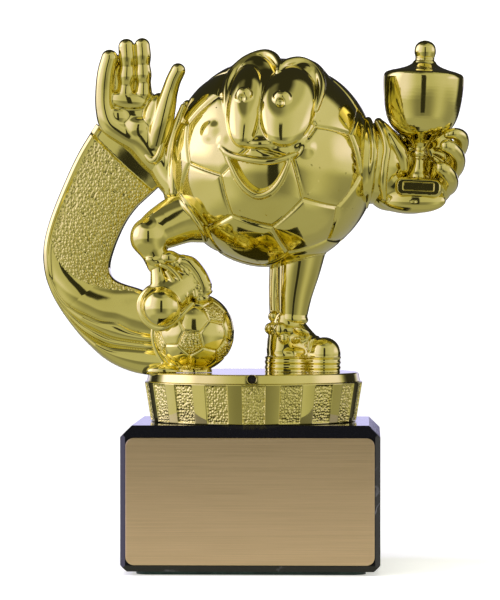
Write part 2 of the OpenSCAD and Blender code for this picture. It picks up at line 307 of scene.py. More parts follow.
def black_marble():
    marble, nodes, links, shader = fresh_material("black_marble")
    shader.inputs["Specular Tint"].default_value = (1.0, 0.99, 0.40, 1.0)
    place = own_place(nodes)
    drift = nodes.new("ShaderNodeTexNoise")
    drift.inputs["Scale"].default_value = 22.0
    drift.inputs["Detail"].default_value = 5.0
    drift.inputs["Distortion"].default_value = 1.6
    links.new(place, drift.inputs["Vector"])
    away = nodes.new("ShaderNodeMath")
    away.operation = "SUBTRACT"
    away.inputs[1].default_value = 0.5
    links.new(drift.outputs["Fac"], away.inputs[0])
    thin = nodes.new("ShaderNodeMath")
    thin.operation = "ABSOLUTE"
    links.new(away.outputs["Value"], thin.inputs[0])
    vein = nodes.new("ShaderNodeValToRGB")
    vein.color_ramp.elements[0].position = 0.0
    vein.color_ramp.elements[0].color = (0.16, 0.16, 0.165, 1)
    vein.color_ramp.elements[1].position = 0.012
    vein.color_ramp.elements[1].color = (0.006, 0.006, 0.007, 1)
    links.new(thin.outputs["Value"], vein.inputs["Fac"])
    patch = speckle(nodes, links, place, 30.0, 2.0)
    keep = nodes.new("ShaderNodeMapRange")
    keep.inputs["From Min"].default_value = 0.52
    keep.inputs["From Max"].default_value = 0.66
    links.new(patch, keep.inputs["Value"])
    colour = nodes.new("ShaderNodeMix")
    colour.data_type = "RGBA"
    colour.inputs["A"].default_value = (0.006, 0.006, 0.007, 1)
    links.new(keep.outputs["Result"], colour.inputs["Factor"])
    links.new(vein.outputs["Color"], colour.inputs["B"])
    links.new(colour.outputs["Result"], shader.inputs["Base Color"])
    grain = speckle(nodes, links, place, 900.0, 4.0)
    links.new(span(nodes, links, grain, 0.05, 0.12), shader.inputs["Roughness"])
    shader.inputs["Coat Weight"].default_value = 0.3
    shader.inputs["Coat Roughness"].default_value = 0.03
    links.new(relief(nodes, links, grain, 0.000004), shader.inputs["Normal"])
    return marble


dress_node("marble_block", black_marble())


# Tape and engraving plate: a sheet of gold-tinted aluminium, brushed along its length, lacquered,
# cut with round corners and a fine ground edge. Double-sided foam tape holds it to the marble.
def foam_tape():
    tape, nodes, links, shader = fresh_material("foam_tape")
    place = own_place(nodes)
    cells = speckle(nodes, links, place, 3000.0, 3.0)
    links.new(two_tone(nodes, links, cells, (0.55, 0.55, 0.52), (0.75, 0.75, 0.72)),
              shader.inputs["Base Color"])
    shader.inputs["Roughness"].default_value = 0.8
    links.new(relief(nodes, links, cells, 0.00008), shader.inputs["Normal"])
    return tape


dress_node("plate_tape", foam_tape())


def brushed_sheet_painted_reflection():
    sheet, nodes, links, shader = fresh_material("brushed_gold_sheet_painted_reflection")
    place = own_place(nodes)
    pull = nodes.new("ShaderNodeMapping")
    pull.inputs["Scale"].default_value = (14.0, 600.0, 1800.0)
    links.new(place, pull.inputs["Vector"])
    lines = nodes.new("ShaderNodeTexNoise")
    lines.inputs["Scale"].default_value = 3.0
    lines.inputs["Detail"].default_value = 6.0
    lines.inputs["Roughness"].default_value = 0.7
    links.new(pull.outputs["Vector"], lines.inputs["Vector"])
    # Painted reflection: the plate's colour runs from a light tone at its bottom to a dark tone at its top.
    # This paints in the pale table that the sheet reflects low down, as lit and shaded copies of one brushed
    # tone.
    height = nodes.new("ShaderNodeSeparateXYZ")
    links.new(place, height.inputs["Vector"])
    rise = nodes.new("ShaderNodeMapRange")
    rise.inputs["From Min"].default_value = 0.003
    rise.inputs["From Max"].default_value = 0.038
    links.new(height.outputs["Z"], rise.inputs["Value"])
    depth = nodes.new("ShaderNodeMix")
    depth.data_type = "RGBA"
    links.new(rise.outputs["Result"], depth.inputs["Factor"])
    links.new(two_tone(nodes, links, lines.outputs["Fac"], (0.82, 0.60, 0.265), (0.97, 0.72, 0.33), 0.3, 0.7),
              depth.inputs["A"])
    links.new(two_tone(nodes, links, lines.outputs["Fac"], (0.43, 0.32, 0.135), (0.57, 0.43, 0.19), 0.3, 0.7),
              depth.inputs["B"])
    links.new(depth.outputs["Result"], shader.inputs["Base Color"])
    shader.inputs["Metallic"].default_value = 0.85
    links.new(span(nodes, links, lines.outputs["Fac"], 0.34, 0.48), shader.inputs["Roughness"])
    shader.inputs["Anisotropic"].default_value = 0.6
    links.new(relief(nodes, links, lines.outputs["Fac"], 0.000012), shader.inputs["Normal"])
    return sheet


def cut_plate():
    low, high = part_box("engraving_plate")
    corner = 0.0022
    ground = 0.00018
    half_w = (high[0] - low[0]) / 2
    half_h = (high[2] - low[2]) / 2
    mid_x = (high[0] + low[0]) / 2
    mid_z = (high[2] + low[2]) / 2
    # Outline loops from the back face to the front face, drawn in by the ground edge
    loops = [(high[1], 0.0), (low[1] + ground, 0.0), (low[1] + 0.4 * ground, 0.35 * ground), (low[1], ground)]
    verts = []
    per_corner = 10
    for y, inset in loops:
        for sx, sz, start in ((1, 1, 0), (-1, 1, 90), (-1, -1, 180), (1, -1, 270)):
            for i in range(per_corner + 1):
                turn = math.radians(start + 90 * i / per_corner)
                verts.append((
                    mid_x + sx * (half_w - corner) + (corner - inset) * math.cos(turn),
                    y,
                    mid_z + sz * (half_h - corner) + (corner - inset) * math.sin(turn),
                ))
    count = 4 * (per_corner + 1)
    faces = [tuple(range(count))]
    for ring in range(len(loops) - 1):
        for i in range(count):
            j = (i + 1) % count
            faces.append((ring * count + i, (ring + 1) * count + i, (ring + 1) * count + j, ring * count + j))
    faces.append(tuple(reversed(range((len(loops) - 1) * count, len(loops) * count))))
    mesh = bpy.data.meshes.new("brushed_plate")
    mesh.from_pydata(verts, [], faces)
    plate = bpy.data.objects.new("brushed_plate", mesh)
    bpy.context.scene.collection.objects.link(plate)
    return plate


plate = cut_plate()
plate.data.materials.append(brushed_sheet_painted_reflection())
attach(plate, "root")
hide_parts("engraving_plate")


# Fixing screw, washer and captive nut: zinc-plated steel. The screw comes up through the block
# and pulls the riser down on it. The plating is bluish, with a faint bloom.
def zinc_plating():
    zinc, nodes, links, shader = fresh_material("zinc_plating")
    place = own_place(nodes)
    bloom = speckle(nodes, links, place, 420.0, 5.0)
    links.new(two_tone(nodes, links, bloom, (0.50, 0.52, 0.55), (0.68, 0.69, 0.70)),
              shader.inputs["Base Color"])
    shader.inputs["Metallic"].default_value = 1.0
    links.new(span(nodes, links, bloom, 0.25, 0.42), shader.inputs["Roughness"])
    links.new(relief(nodes, links, speckle(nodes, links, place, 2400.0, 2.0), 0.00001),
              shader.inputs["Normal"])
    return zinc


zinc = zinc_plating()
for steel_node in ("fixing_screw", "washer", "captive_nut"):
    dress_node(steel_node, zinc)


# Riser drum: a moulded plastic ring, metallised gold. Plain bars stand between sunk panels with a
# pebbled grain like hammered leather, and the whole ring tapers towards the block.
MM = 0.001
panels = 18
panel_depth = 0.66
pebble_size = 0.78
pebble_height = 0.34
drum_foot_radius = 28.85
drum_flare = 1.8
drum_lip_radius = 30.6
drum_foot = np.array(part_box("riser_drum")[0]) / MM
drum_head = np.array(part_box("riser_drum")[1]) / MM


def gold_plating(name, smooth_low, smooth_high, waves):
    """Vacuum-coated metal under clear lacquer: a mirror, with the slow waves of the moulding."""
    gold, nodes, links, shader = fresh_material(name)
    place = own_place(nodes)
    haze = speckle(nodes, links, place, 55.0, 4.0)
    links.new(two_tone(nodes, links, haze, (0.80, 0.70, 0.150), (0.86, 0.765, 0.185)),
              shader.inputs["Base Color"])
    shader.inputs["Metallic"].default_value = 1.0
    links.new(span(nodes, links, speckle(nodes, links, place, 160.0, 5.0), smooth_low, smooth_high),
              shader.inputs["Roughness"])
    shader.inputs["Coat Weight"].default_value = 0.35
    shader.inputs["Coat Roughness"].default_value = 0.05
    slow = relief(nodes, links, speckle(nodes, links, place, 120.0, 1.5), waves, 0.5)
    links.new(relief(nodes, links, speckle(nodes, links, place, 420.0, 2.0), waves * 0.1, 0.5, slow),
              shader.inputs["Normal"])
    return gold


smooth_gold = gold_plating("smooth_gold", 0.045, 0.10, 0.00014)
pebbled_gold = gold_plating("pebbled_gold", 0.12, 0.20, 0.00008)


def pebbles(points, size, seed):
    """Height from 0 in the cracks to 1 on top of irregular pebbles of about this size."""
    cell = np.floor(points / size).astype(np.int64)
    nearest = np.full(len(points), 9.0)
    second = np.full(len(points), 9.0)
    for ox in (-1, 0, 1):
        for oy in (-1, 0, 1):
            for oz in (-1, 0, 1):
                near = cell + np.array([ox, oy, oz])
                mixed = (near[:, 0] * 73856093) ^ (near[:, 1] * 19349663) ^ (near[:, 2] * 83492791) ^ seed
                jitter = np.stack([
                    ((mixed * 1103515245 + 12345) >> 8) % 1024,
                    ((mixed * 22695477 + 1) >> 7) % 1024,
                    ((mixed * 134775813 + 7) >> 9) % 1024,
                ], axis=1) / 1023.0
                reach = np.linalg.norm(points / size - near - 0.15 - 0.7 * jitter, axis=1)
                further = reach > nearest
                second = np.where(further, np.minimum(second, reach), nearest)
                nearest = np.where(further, nearest, reach)
    crack = np.clip((second - nearest) / 0.30, 0, 1)
    dome = np.clip(1 - (nearest / 0.85) ** 2, 0, 1)
    return crack * (2 - crack) * (0.35 + 0.65 * dome)


def skin_rings(ring_count, columns):
    """Quads between stacked rings of points, and triangles to the two end points that follow them."""
    index = np.arange(columns)
    following = (index + 1) % columns
    quads = np.concatenate([
        np.stack([r * columns + index, r * columns + following,
                  (r + 1) * columns + following, (r + 1) * columns + index], axis=1)
        for r in range(ring_count - 1)
    ])
    top = (ring_count - 1) * columns
    low_point = ring_count * columns
    caps = np.concatenate([
        np.stack([following, index, np.full(columns, low_point)], axis=1),
        np.stack([top + index, top + following, np.full(columns, low_point + 1)], axis=1),
    ])
    return quads, caps


def turn_drum():
    columns = panels * 72
    rows = 60
    height = drum_head[2] - drum_foot[2]
    turn = np.arange(columns) / columns * 2 * np.pi
    up = np.linspace(0, 1, rows)
    turns, ups = np.meshgrid(turn, up, indexing="ij")
    radius = drum_foot_radius + drum_flare * ups
    # 0 at the middle of a panel, 0.5 at the middle of a bar
    phase = np.abs((turns / (2 * np.pi) * panels + panels / 4 + 0.41) % 1 - 0.5)
    from_edge = np.minimum(ups, 1 - ups) * height
    sunk = np.clip((0.31 - phase) / 0.03, 0, 1) * np.clip((from_edge - 0.35) / 0.3, 0, 1)
    sunk = sunk * sunk * (3 - 2 * sunk)
    spot = np.stack([radius * np.cos(turns), radius * np.sin(turns), ups * height], axis=-1).reshape(-1, 3)
    grain = pebbles(spot, pebble_size, 5).reshape(radius.shape)
    shape = radius - panel_depth * sunk + pebble_height * sunk * grain
    edge = np.clip(from_edge / 0.25, 0, 1)
    shape = shape - 0.22 * (1 - edge) ** 2
    outer = np.stack([shape * np.cos(turns), shape * np.sin(turns), drum_foot[2] + ups * height], axis=-1)
    # The wall turns in at the top, and both ends close on the axis
    rings = [outer[:, i] for i in range(rows)]
    lid = height - 0.05
    for inset in (1.2, 2.4):
        rings.append(np.stack([
            (drum_lip_radius - inset) * np.cos(turn),
            (drum_lip_radius - inset) * np.sin(turn),
            np.full(columns, drum_foot[2] + lid),
        ], axis=-1))
    verts = np.concatenate(rings + [[[0, 0, drum_foot[2]], [0, 0, drum_foot[2] + lid]]])
    quads, caps = skin_rings(len(rings), columns)
    return verts, quads, caps, sunk


def join_shapes(verts, quads, tris, name, materials, quad_slots=None):
    """Quads and triangles in one closed mesh."""
    mesh = bpy.data.meshes.new(name)
    mesh.from_pydata((np.asarray(verts) * MM).tolist(), [], quads.tolist() + tris.tolist())
    for material in materials:
        mesh.materials.append(material)
    if quad_slots is not None:
        slots = np.concatenate([quad_slots, np.zeros(len(tris), dtype=np.int32)])
        mesh.polygons.foreach_set("material_index", slots.astype(np.int32))
    mesh.validate()
    mesh.shade_smooth()
    made = bpy.data.objects.new(name, mesh)
    bpy.context.scene.collection.objects.link(made)
    return made


drum_verts, drum_quads, drum_caps, drum_sunk = turn_drum()
quad_sunk = np.zeros(len(drum_quads), dtype=np.int32)
in_panel = (drum_sunk[:, :-1] > 0.5).T.ravel()
quad_sunk[:len(in_panel)] = in_panel
drum = join_shapes(drum_verts, drum_quads, drum_caps, "riser_ring", [smooth_gold, pebbled_gold], quad_sunk)
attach(drum, "root")
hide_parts("riser_drum")


# Riser deck: the domed lid of the drum with a smooth rim band, moulded in one with a short skirt.
# The small dark hole in its front is where a pin held it while it was metallised.
deck_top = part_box("riser_deck")[1][2] / MM
rim_foot = deck_top - 2.6
rim_steps = 39
mark_x = 0.4
mark_z = deck_top - 1.25
mark_radius = 1.25
mark_depth = 2.2
bare_radius = 1.12


def press_pin_mark(verts):
    away = np.sqrt((verts[:, 0] - mark_x) ** 2 + (verts[:, 2] - mark_z) ** 2)
    front = verts[:, 1] < -25
    depth = np.where(front, np.clip((mark_radius - away) / 0.30, 0, 1), 0)
    out = verts.copy()
    out[:, 1] += mark_depth * depth
    return out


def turn_lid(profile, columns, materials):
    """Turns a profile of (radius, height) about the screw's axis and presses the pin's mark in."""
    profile = np.asarray(profile, dtype=float)
    turn = np.arange(columns) / columns * 2 * np.pi
    rings = []
    for radius, height in profile[1:-1]:
        level = np.full(columns, height)
        rings.append(np.stack([radius * np.cos(turn), radius * np.sin(turn), level], axis=-1))
    verts = np.concatenate(rings + [[[0, 0, profile[0][1]], [0, 0, profile[-1][1]]]])
    quads, caps = skin_rings(len(rings), columns)
    return join_shapes(press_pin_mark(verts), quads, caps, "riser_lid", materials)


def bare_plastic():
    plastic, nodes, links, shader = fresh_material("bare_plastic")
    place = own_place(nodes)
    fleck = speckle(nodes, links, place, 1800.0, 3.0)
    links.new(two_tone(nodes, links, fleck, (0.012, 0.009, 0.003), (0.030, 0.022, 0.008)),
              shader.inputs["Base Color"])
    links.new(span(nodes, links, fleck, 0.4, 0.6), shader.inputs["Roughness"])
    return plastic


rim_rows = [
    (29.95 - 0.40 * i / rim_steps, rim_foot + 0.10 + (deck_top - 0.55 - rim_foot) * i / rim_steps)
    for i in range(rim_steps + 1)
]
deck_profile = [(0, rim_foot), (29.55, rim_foot), (29.85, rim_foot + 0.03)] + rim_rows + [
    (29.51, deck_top - 0.33), (29.37, deck_top - 0.20), (29.1, deck_top - 0.12), (28.7, deck_top - 0.08),
    (27.0, deck_top - 0.06), (20.0, deck_top - 0.03), (10.0, deck_top - 0.01), (0, deck_top)
]
deck = turn_lid(deck_profile, 1440, [smooth_gold, bare_plastic()])
for face in deck.data.polygons:
    at = face.center / MM
    if at.y < -24 and math.hypot(at.x - mark_x, at.z - mark_z) < bare_radius:
        face.material_index = 1
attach(deck, "root")
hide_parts("riser_deck")


# Small football: a hollow moulding, gold all over, with sunk seams round its panels. The pentagons
# are pebbled. It stands on a peg in the deck, and a line of flash runs down its left side.
def blend(a, b, soft):
    mix = np.clip(0.5 + 0.5 * (b - a) / soft, 0, 1)
    return b * (1 - mix) + a * mix - soft * mix * (1 - mix)


def egg_shape(p, centre, radii, axes=None):
    q = p - np.asarray(centre)
    if axes is not None:
        q = q @ np.asarray(axes).T
    radii = np.asarray(radii)
    inner = np.linalg.norm(q / radii, axis=1)
    outer = np.linalg.norm(q / (radii * radii), axis=1) + 1e-9
    return inner * (inner - 1.0) / outer


def rope_shape(p, points, radii, pieces=3):
    """A round bar along a smooth curve, with its own radius at each point."""
    knots = np.column_stack([np.asarray(points, dtype=float), np.asarray(radii, dtype=float)])
    ends = np.vstack([2 * knots[0] - knots[1], knots, 2 * knots[-1] - knots[-2]])
    a, b, c, d = ends[:-3], ends[1:-2], ends[2:-1], ends[3:]
    cubic = 0.5 * np.stack([2 * b, c - a, 2 * a - 5 * b + 4 * c - d, 3 * b - a - 3 * c + d], axis=1)
    fat = knots[:, 3].max() + 0.4
    low = knots[:, :3].min(axis=0) - fat
    high = knots[:, :3].max(axis=0) + fat
    gap = np.linalg.norm(np.maximum(np.maximum(low - p, p - high), 0), axis=1)
    near = gap < 2.5
    q = p[near]
    if len(q) == 0:
        return gap + 0.3
    best = np.full(len(q), 1e9)
    place = np.zeros(len(q))
    for s in range(len(cubic)):
        line = [cubic[s][0] + t * (cubic[s][1] + t * (cubic[s][2] + t * cubic[s][3]))
                for t in np.arange(pieces + 1) / pieces]
        for k in range(pieces):
            run = line[k + 1][:3] - line[k][:3]
            t = np.clip((q - line[k][:3]) @ run / max(run @ run, 1e-9), 0, 1)
            away = q - line[k][:3] - t[:, None] * run
            away = np.einsum("ij,ij->i", away, away)
            closer = away < best
            best = np.where(closer, away, best)
            place = np.where(closer, s + (k + t) / pieces, place)
    last = len(cubic) - 1
    for _ in range(3):
        at = np.minimum(place.astype(int), last)
        t = (place - at)[:, None]
        c0, c1, c2, c3 = (cubic[:, i, :3][at] for i in range(4))
        off = c0 + t * (c1 + t * (c2 + t * c3)) - q
        way = c1 + t * (2 * c2 + 3 * t * c3)
        bend = 2 * c2 + 6 * t * c3
        speed = np.einsum("ij,ij->i", way, way)
        slope = np.maximum(speed + np.einsum("ij,ij->i", off, bend), 0.35 * speed) + 1e-9
        place = np.clip(place - np.einsum("ij,ij->i", off, way) / slope, 0, last + 1)
    at = np.minimum(place.astype(int), last)
    t = (place - at)[:, None]
    c0, c1, c2, c3 = (cubic[:, i][at] for i in range(4))
    there = c0 + t * (c1 + t * (c2 + t * c3))
    out = gap + 0.3
    out[near] = np.linalg.norm(there[:, :3] - q, axis=1) - there[:, 3]
    return out


# The figure is drawn on a floor at this height, and moves down until its soles meet the deck
drawn_floor = 55.8
figure_drop = deck_top - drawn_floor - 0.3
deck_level = deck_top - figure_drop - 0.05


def place_mesh(name, verts, faces, normals):
    """Makes a gold moulding from points in millimetres."""
    mesh = bpy.data.meshes.new(name)
    mesh.vertices.add(len(verts))
    mesh.vertices.foreach_set("co", (np.asarray(verts, dtype=np.float64) * MM).astype(np.float32).ravel())
    faces = np.asarray(faces, dtype=np.int32)
    width = faces.shape[1]
    mesh.loops.add(faces.size)
    mesh.loops.foreach_set("vertex_index", faces.ravel())
    mesh.polygons.add(len(faces))
    mesh.polygons.foreach_set("loop_start", np.arange(0, faces.size, width, dtype=np.int32))
    mesh.polygons.foreach_set("loop_total", np.full(len(faces), width, dtype=np.int32))
    mesh.materials.append(smooth_gold)
    mesh.update(calc_edges=True)
    mesh.validate()
    mesh.shade_smooth()
    mesh.normals_split_custom_set_from_vertices(normals.tolist())
    made = bpy.data.objects.new(name, mesh)
    bpy.context.scene.collection.objects.link(made)
    return made


def cast(name, shape, low, high, step, aside=0.0, up=0.0):
    """Fills a mould: turns a distance function in millimetres into a closed smooth skin."""
    low = np.asarray(low, dtype=float)
    high = np.asarray(high, dtype=float)
    blocks = np.ceil((high - low) / (4 * step)).astype(int)
    axes = [low[i] + (4 * np.arange(blocks[i]) + 1.5) * step for i in range(3)]
    centres = np.stack(np.meshgrid(*axes, indexing="ij"), axis=-1).reshape(-1, 3)
    rough = shape(centres)
    far = 8 * step
    filled = np.where(rough > 0, far, -far).reshape(blocks)
    fine = np.repeat(np.repeat(np.repeat(filled, 4, 0), 4, 1), 4, 2).astype(np.float32)
    offsets = (np.stack(np.meshgrid(*[np.arange(4)] * 3, indexing="ij"), axis=-1).reshape(-1, 3) - 1.5) * step
    points = (centres[np.abs(rough) < 5.4 * step][:, None, :] + offsets[None]).reshape(-1, 3)
    values = np.concatenate([shape(part) for part in np.array_split(points, max(1, len(points) // 200000))])
    where = np.rint((points - low) / step).astype(int)
    fine[where[:, 0], where[:, 1], where[:, 2]] = np.clip(values, -far, far)
    volume = openvdb.FloatGrid(far)
    volume.copyFromArray(fine)
    volume.transform = openvdb.createLinearTransform(voxelSize=step)
    verts, quads = volume.convertToQuads(isovalue=0.0)
    verts = np.asarray(verts, dtype=float) + low
    nudge = 0.015

    def slope_at(spots):
        here = shape(spots)
        slope = np.zeros_like(spots)
        for axis in range(3):
            ahead = spots.copy()
            ahead[:, axis] += nudge
            slope[:, axis] = (shape(ahead) - here) / nudge
        return here, slope

    # Pull the skin onto the exact shape
    here, slope = slope_at(verts)
    steep = np.maximum((slope ** 2).sum(axis=1), 0.1)
    for turn in range(3):
        move = slope * (here / steep)[:, None]
        reach = np.linalg.norm(move, axis=1)
        verts = verts - move * np.minimum(1.0, 0.6 * step / np.maximum(reach, 1e-9))[:, None]
        if turn < 2:
            here = shape(verts)
    _, slope = slope_at(verts)
    normals = slope / np.maximum(np.linalg.norm(slope, axis=1), 1e-9)[:, None]
    quads = np.asarray(quads, dtype=np.int64)
    corner = verts[quads]
    facing = np.cross(corner[:, 2] - corner[:, 0], corner[:, 3] - corner[:, 1])
    if (facing * normals[quads[:, 0]]).sum() < 0:
        quads = quads[:, ::-1]
    return place_mesh(name, verts + np.array([aside, 0, up + figure_drop]), quads, normals)


def football_panels():
    """Directions to the 12 pentagons and then the 20 hexagons, longer where the panel is nearer."""
    golden = (1 + 5 ** 0.5) / 2
    tips = []
    for a in (-1, 1):
        for b in (-golden, golden):
            tips += [(0, a, b), (a, b, 0), (b, 0, a)]
    tips = np.array(tips) / math.hypot(1, golden)
    sides = []
    for i in range(12):
        for j in range(i + 1, 12):
            for k in range(j + 1, 12):
                if min(tips[i] @ tips[j], tips[i] @ tips[k], tips[j] @ tips[k]) > 0.4:
                    between = tips[i] + tips[j] + tips[k]
                    sides.append(between / np.linalg.norm(between))
    # Distances from the centre of a football whose seams are each 1 long
    to_pentagon = 2.32744
    to_hexagon = 2.26728
    to_corner = 2.47802
    return np.vstack([tips / to_pentagon, np.array(sides) / to_hexagon]) * to_corner


ball_panels = football_panels()
panel_gaps = np.linalg.norm(ball_panels[:, None] - ball_panels[None], axis=2) + np.eye(32)


def seams(direction, turn):
    """Angle to the nearest seam, and whether the panel is a pentagon."""
    reach = direction @ (ball_panels @ turn.T).T
    order = np.argpartition(-reach, 1, axis=1)
    first = order[:, 0]
    second = order[:, 1]
    rows = np.arange(len(reach))
    swap = reach[rows, first] < reach[rows, second]
    first, second = np.where(swap, second, first), np.where(swap, first, second)
    return (reach[rows, first] - reach[rows, second]) / panel_gaps[first, second], first < 12


def turn_to(directions_now, directions_wanted):
    """The rotation that carries two panel centres to two places."""
    def basis(a, b):
        a = np.asarray(a, dtype=float) / np.linalg.norm(a)
        c = np.cross(a, b)
        c = c / np.linalg.norm(c)
        return np.column_stack([a, c, np.cross(a, c)])
    return basis(*directions_wanted) @ basis(*directions_now).T


football_centre = np.array([-16.6, -8.0, 67.2])
football_radius = 11.15


def neighbouring_tips():
    first = ball_panels[0]
    for other in ball_panels[1:12]:
        if first @ other > 0.4:
            return first, other


football_turn = turn_to(neighbouring_tips(), ((-0.054, -0.967, -0.25), (0.57, -0.636, 0.52)))


def football_shape(p):
    q = p - football_centre
    reach = np.linalg.norm(q, axis=1)
    gap, pentagon = seams(q / np.maximum(reach, 1e-6)[:, None], football_turn)
    gap = gap * football_radius
    skin = football_radius - 0.30 * np.exp(-(gap / 0.32) ** 2) - 0.16 * np.exp(-gap / 0.9)
    grained = pentagon & (gap > 0.25)
    grain = np.zeros(len(p))
    close = grained & (np.abs(reach - skin) < 1.5)
    if close.any():
        grain[close] = pebbles(q[close] / reach[close][:, None] * football_radius, 0.85, 3)
    body = reach - (skin + np.where(grained, 0.22 * grain * np.clip((gap - 0.25) / 0.3, 0, 1) - 0.15, 0))
    mound = egg_shape(p, (-25.0, -9.5, 56.4), (5.0, 3.6, 2.0))
    flash = rope_shape(p, [(-28.1, -7.4, 69.5), (-28.3, -7.2, 66.0), (-27.2, -7.2, 61.8), (-25.0, -7.4, 58.4),
                           (-22.0, -7.6, 56.3)], [0.55, 0.7, 0.7, 0.8, 0.9], 5)
    peg = np.maximum(np.linalg.norm(q[:, :2], axis=1) - 5.0, np.abs(p[:, 2] - 56.2) - 0.6)
    return np.maximum(blend(blend(blend(body, flash, 0.5), peg, 0.5), mound, 0.8), deck_level - p[:, 2])


football = cast("small_football", football_shape, (-31.5, -20.5, 55.0), (-4.0, 4.5, 79.5), 0.27, 0.35, 0.1)
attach(football, "root")
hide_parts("football")


# Comet tail: one curved moulding from the waving hand down to the deck, behind the raised foot.
# Its upper part is pebbled inside a smooth rim, and its lower part flows into four smooth folds.
tail_outer = [(-44.2, 125.6), (-49.2, 117.4), (-53.4, 108.5), (-57.2, 98.9), (-59.0, 91.4), (-58.8, 84.7),
              (-57.1, 79.0), (-54.3, 73.8), (-50.3, 68.3), (-46.6, 64.2), (-41.8, 60.0), (-36.2, 57.1),
              (-30.0, 55.6), (-22.0, 55.5)]
tail_inner = [(-25.6, 109.9), (-29.8, 106.0), (-33.6, 102.4), (-36.6, 98.2), (-38.9, 93.4), (-40.4, 89.2),
              (-41.1, 86.0), (-40.9, 83.6), (-39.9, 82.0), (-38.2, 80.9), (-36.0, 80.1), (-33.0, 79.2),
              (-29.5, 78.0), (-24.0, 76.5)]
# Where the folds meet at each of those places, as shares of the width from the outer edge
fold_lines = [
    [0.0] * 14,
    [0.01, 0.01, 0.01, 0.01, 0.01, 0.01, 0.015, 0.02, 0.05, 0.10, 0.18, 0.26, 0.30, 0.31],
    [0.02, 0.02, 0.02, 0.02, 0.025, 0.03, 0.04, 0.064, 0.139, 0.22, 0.29, 0.35, 0.384, 0.39],
    [0.03, 0.03, 0.03, 0.035, 0.04, 0.05, 0.08, 0.13, 0.286, 0.39, 0.50, 0.50, 0.505, 0.50],
    [0.075, 0.075, 0.08, 0.085, 0.11, 0.256, 0.465, 0.666, 0.815, 0.886, 0.94, 0.977, 1.0, 1.0],
]
fold_rise = (2.0, 0.9, 1.2, 1.2)


def flowing(points, pieces=8):
    """A smooth curve through the points, as a list of many short steps."""
    points = np.asarray(points, dtype=float)
    padded = np.vstack([2 * points[0] - points[1], points, 2 * points[-1] - points[-2]])
    out = []
    for i in range(1, len(padded) - 2):
        a, b, c, d = padded[i - 1], padded[i], padded[i + 1], padded[i + 2]
        for t in np.arange(pieces) / pieces:
            out.append(0.5 * (2 * b + (c - a) * t + (2 * a - 5 * b + 4 * c - d) * t ** 2
                              + (3 * b - a - 3 * c + d) * t ** 3))
    out.append(points[-1])
    return np.array(out)


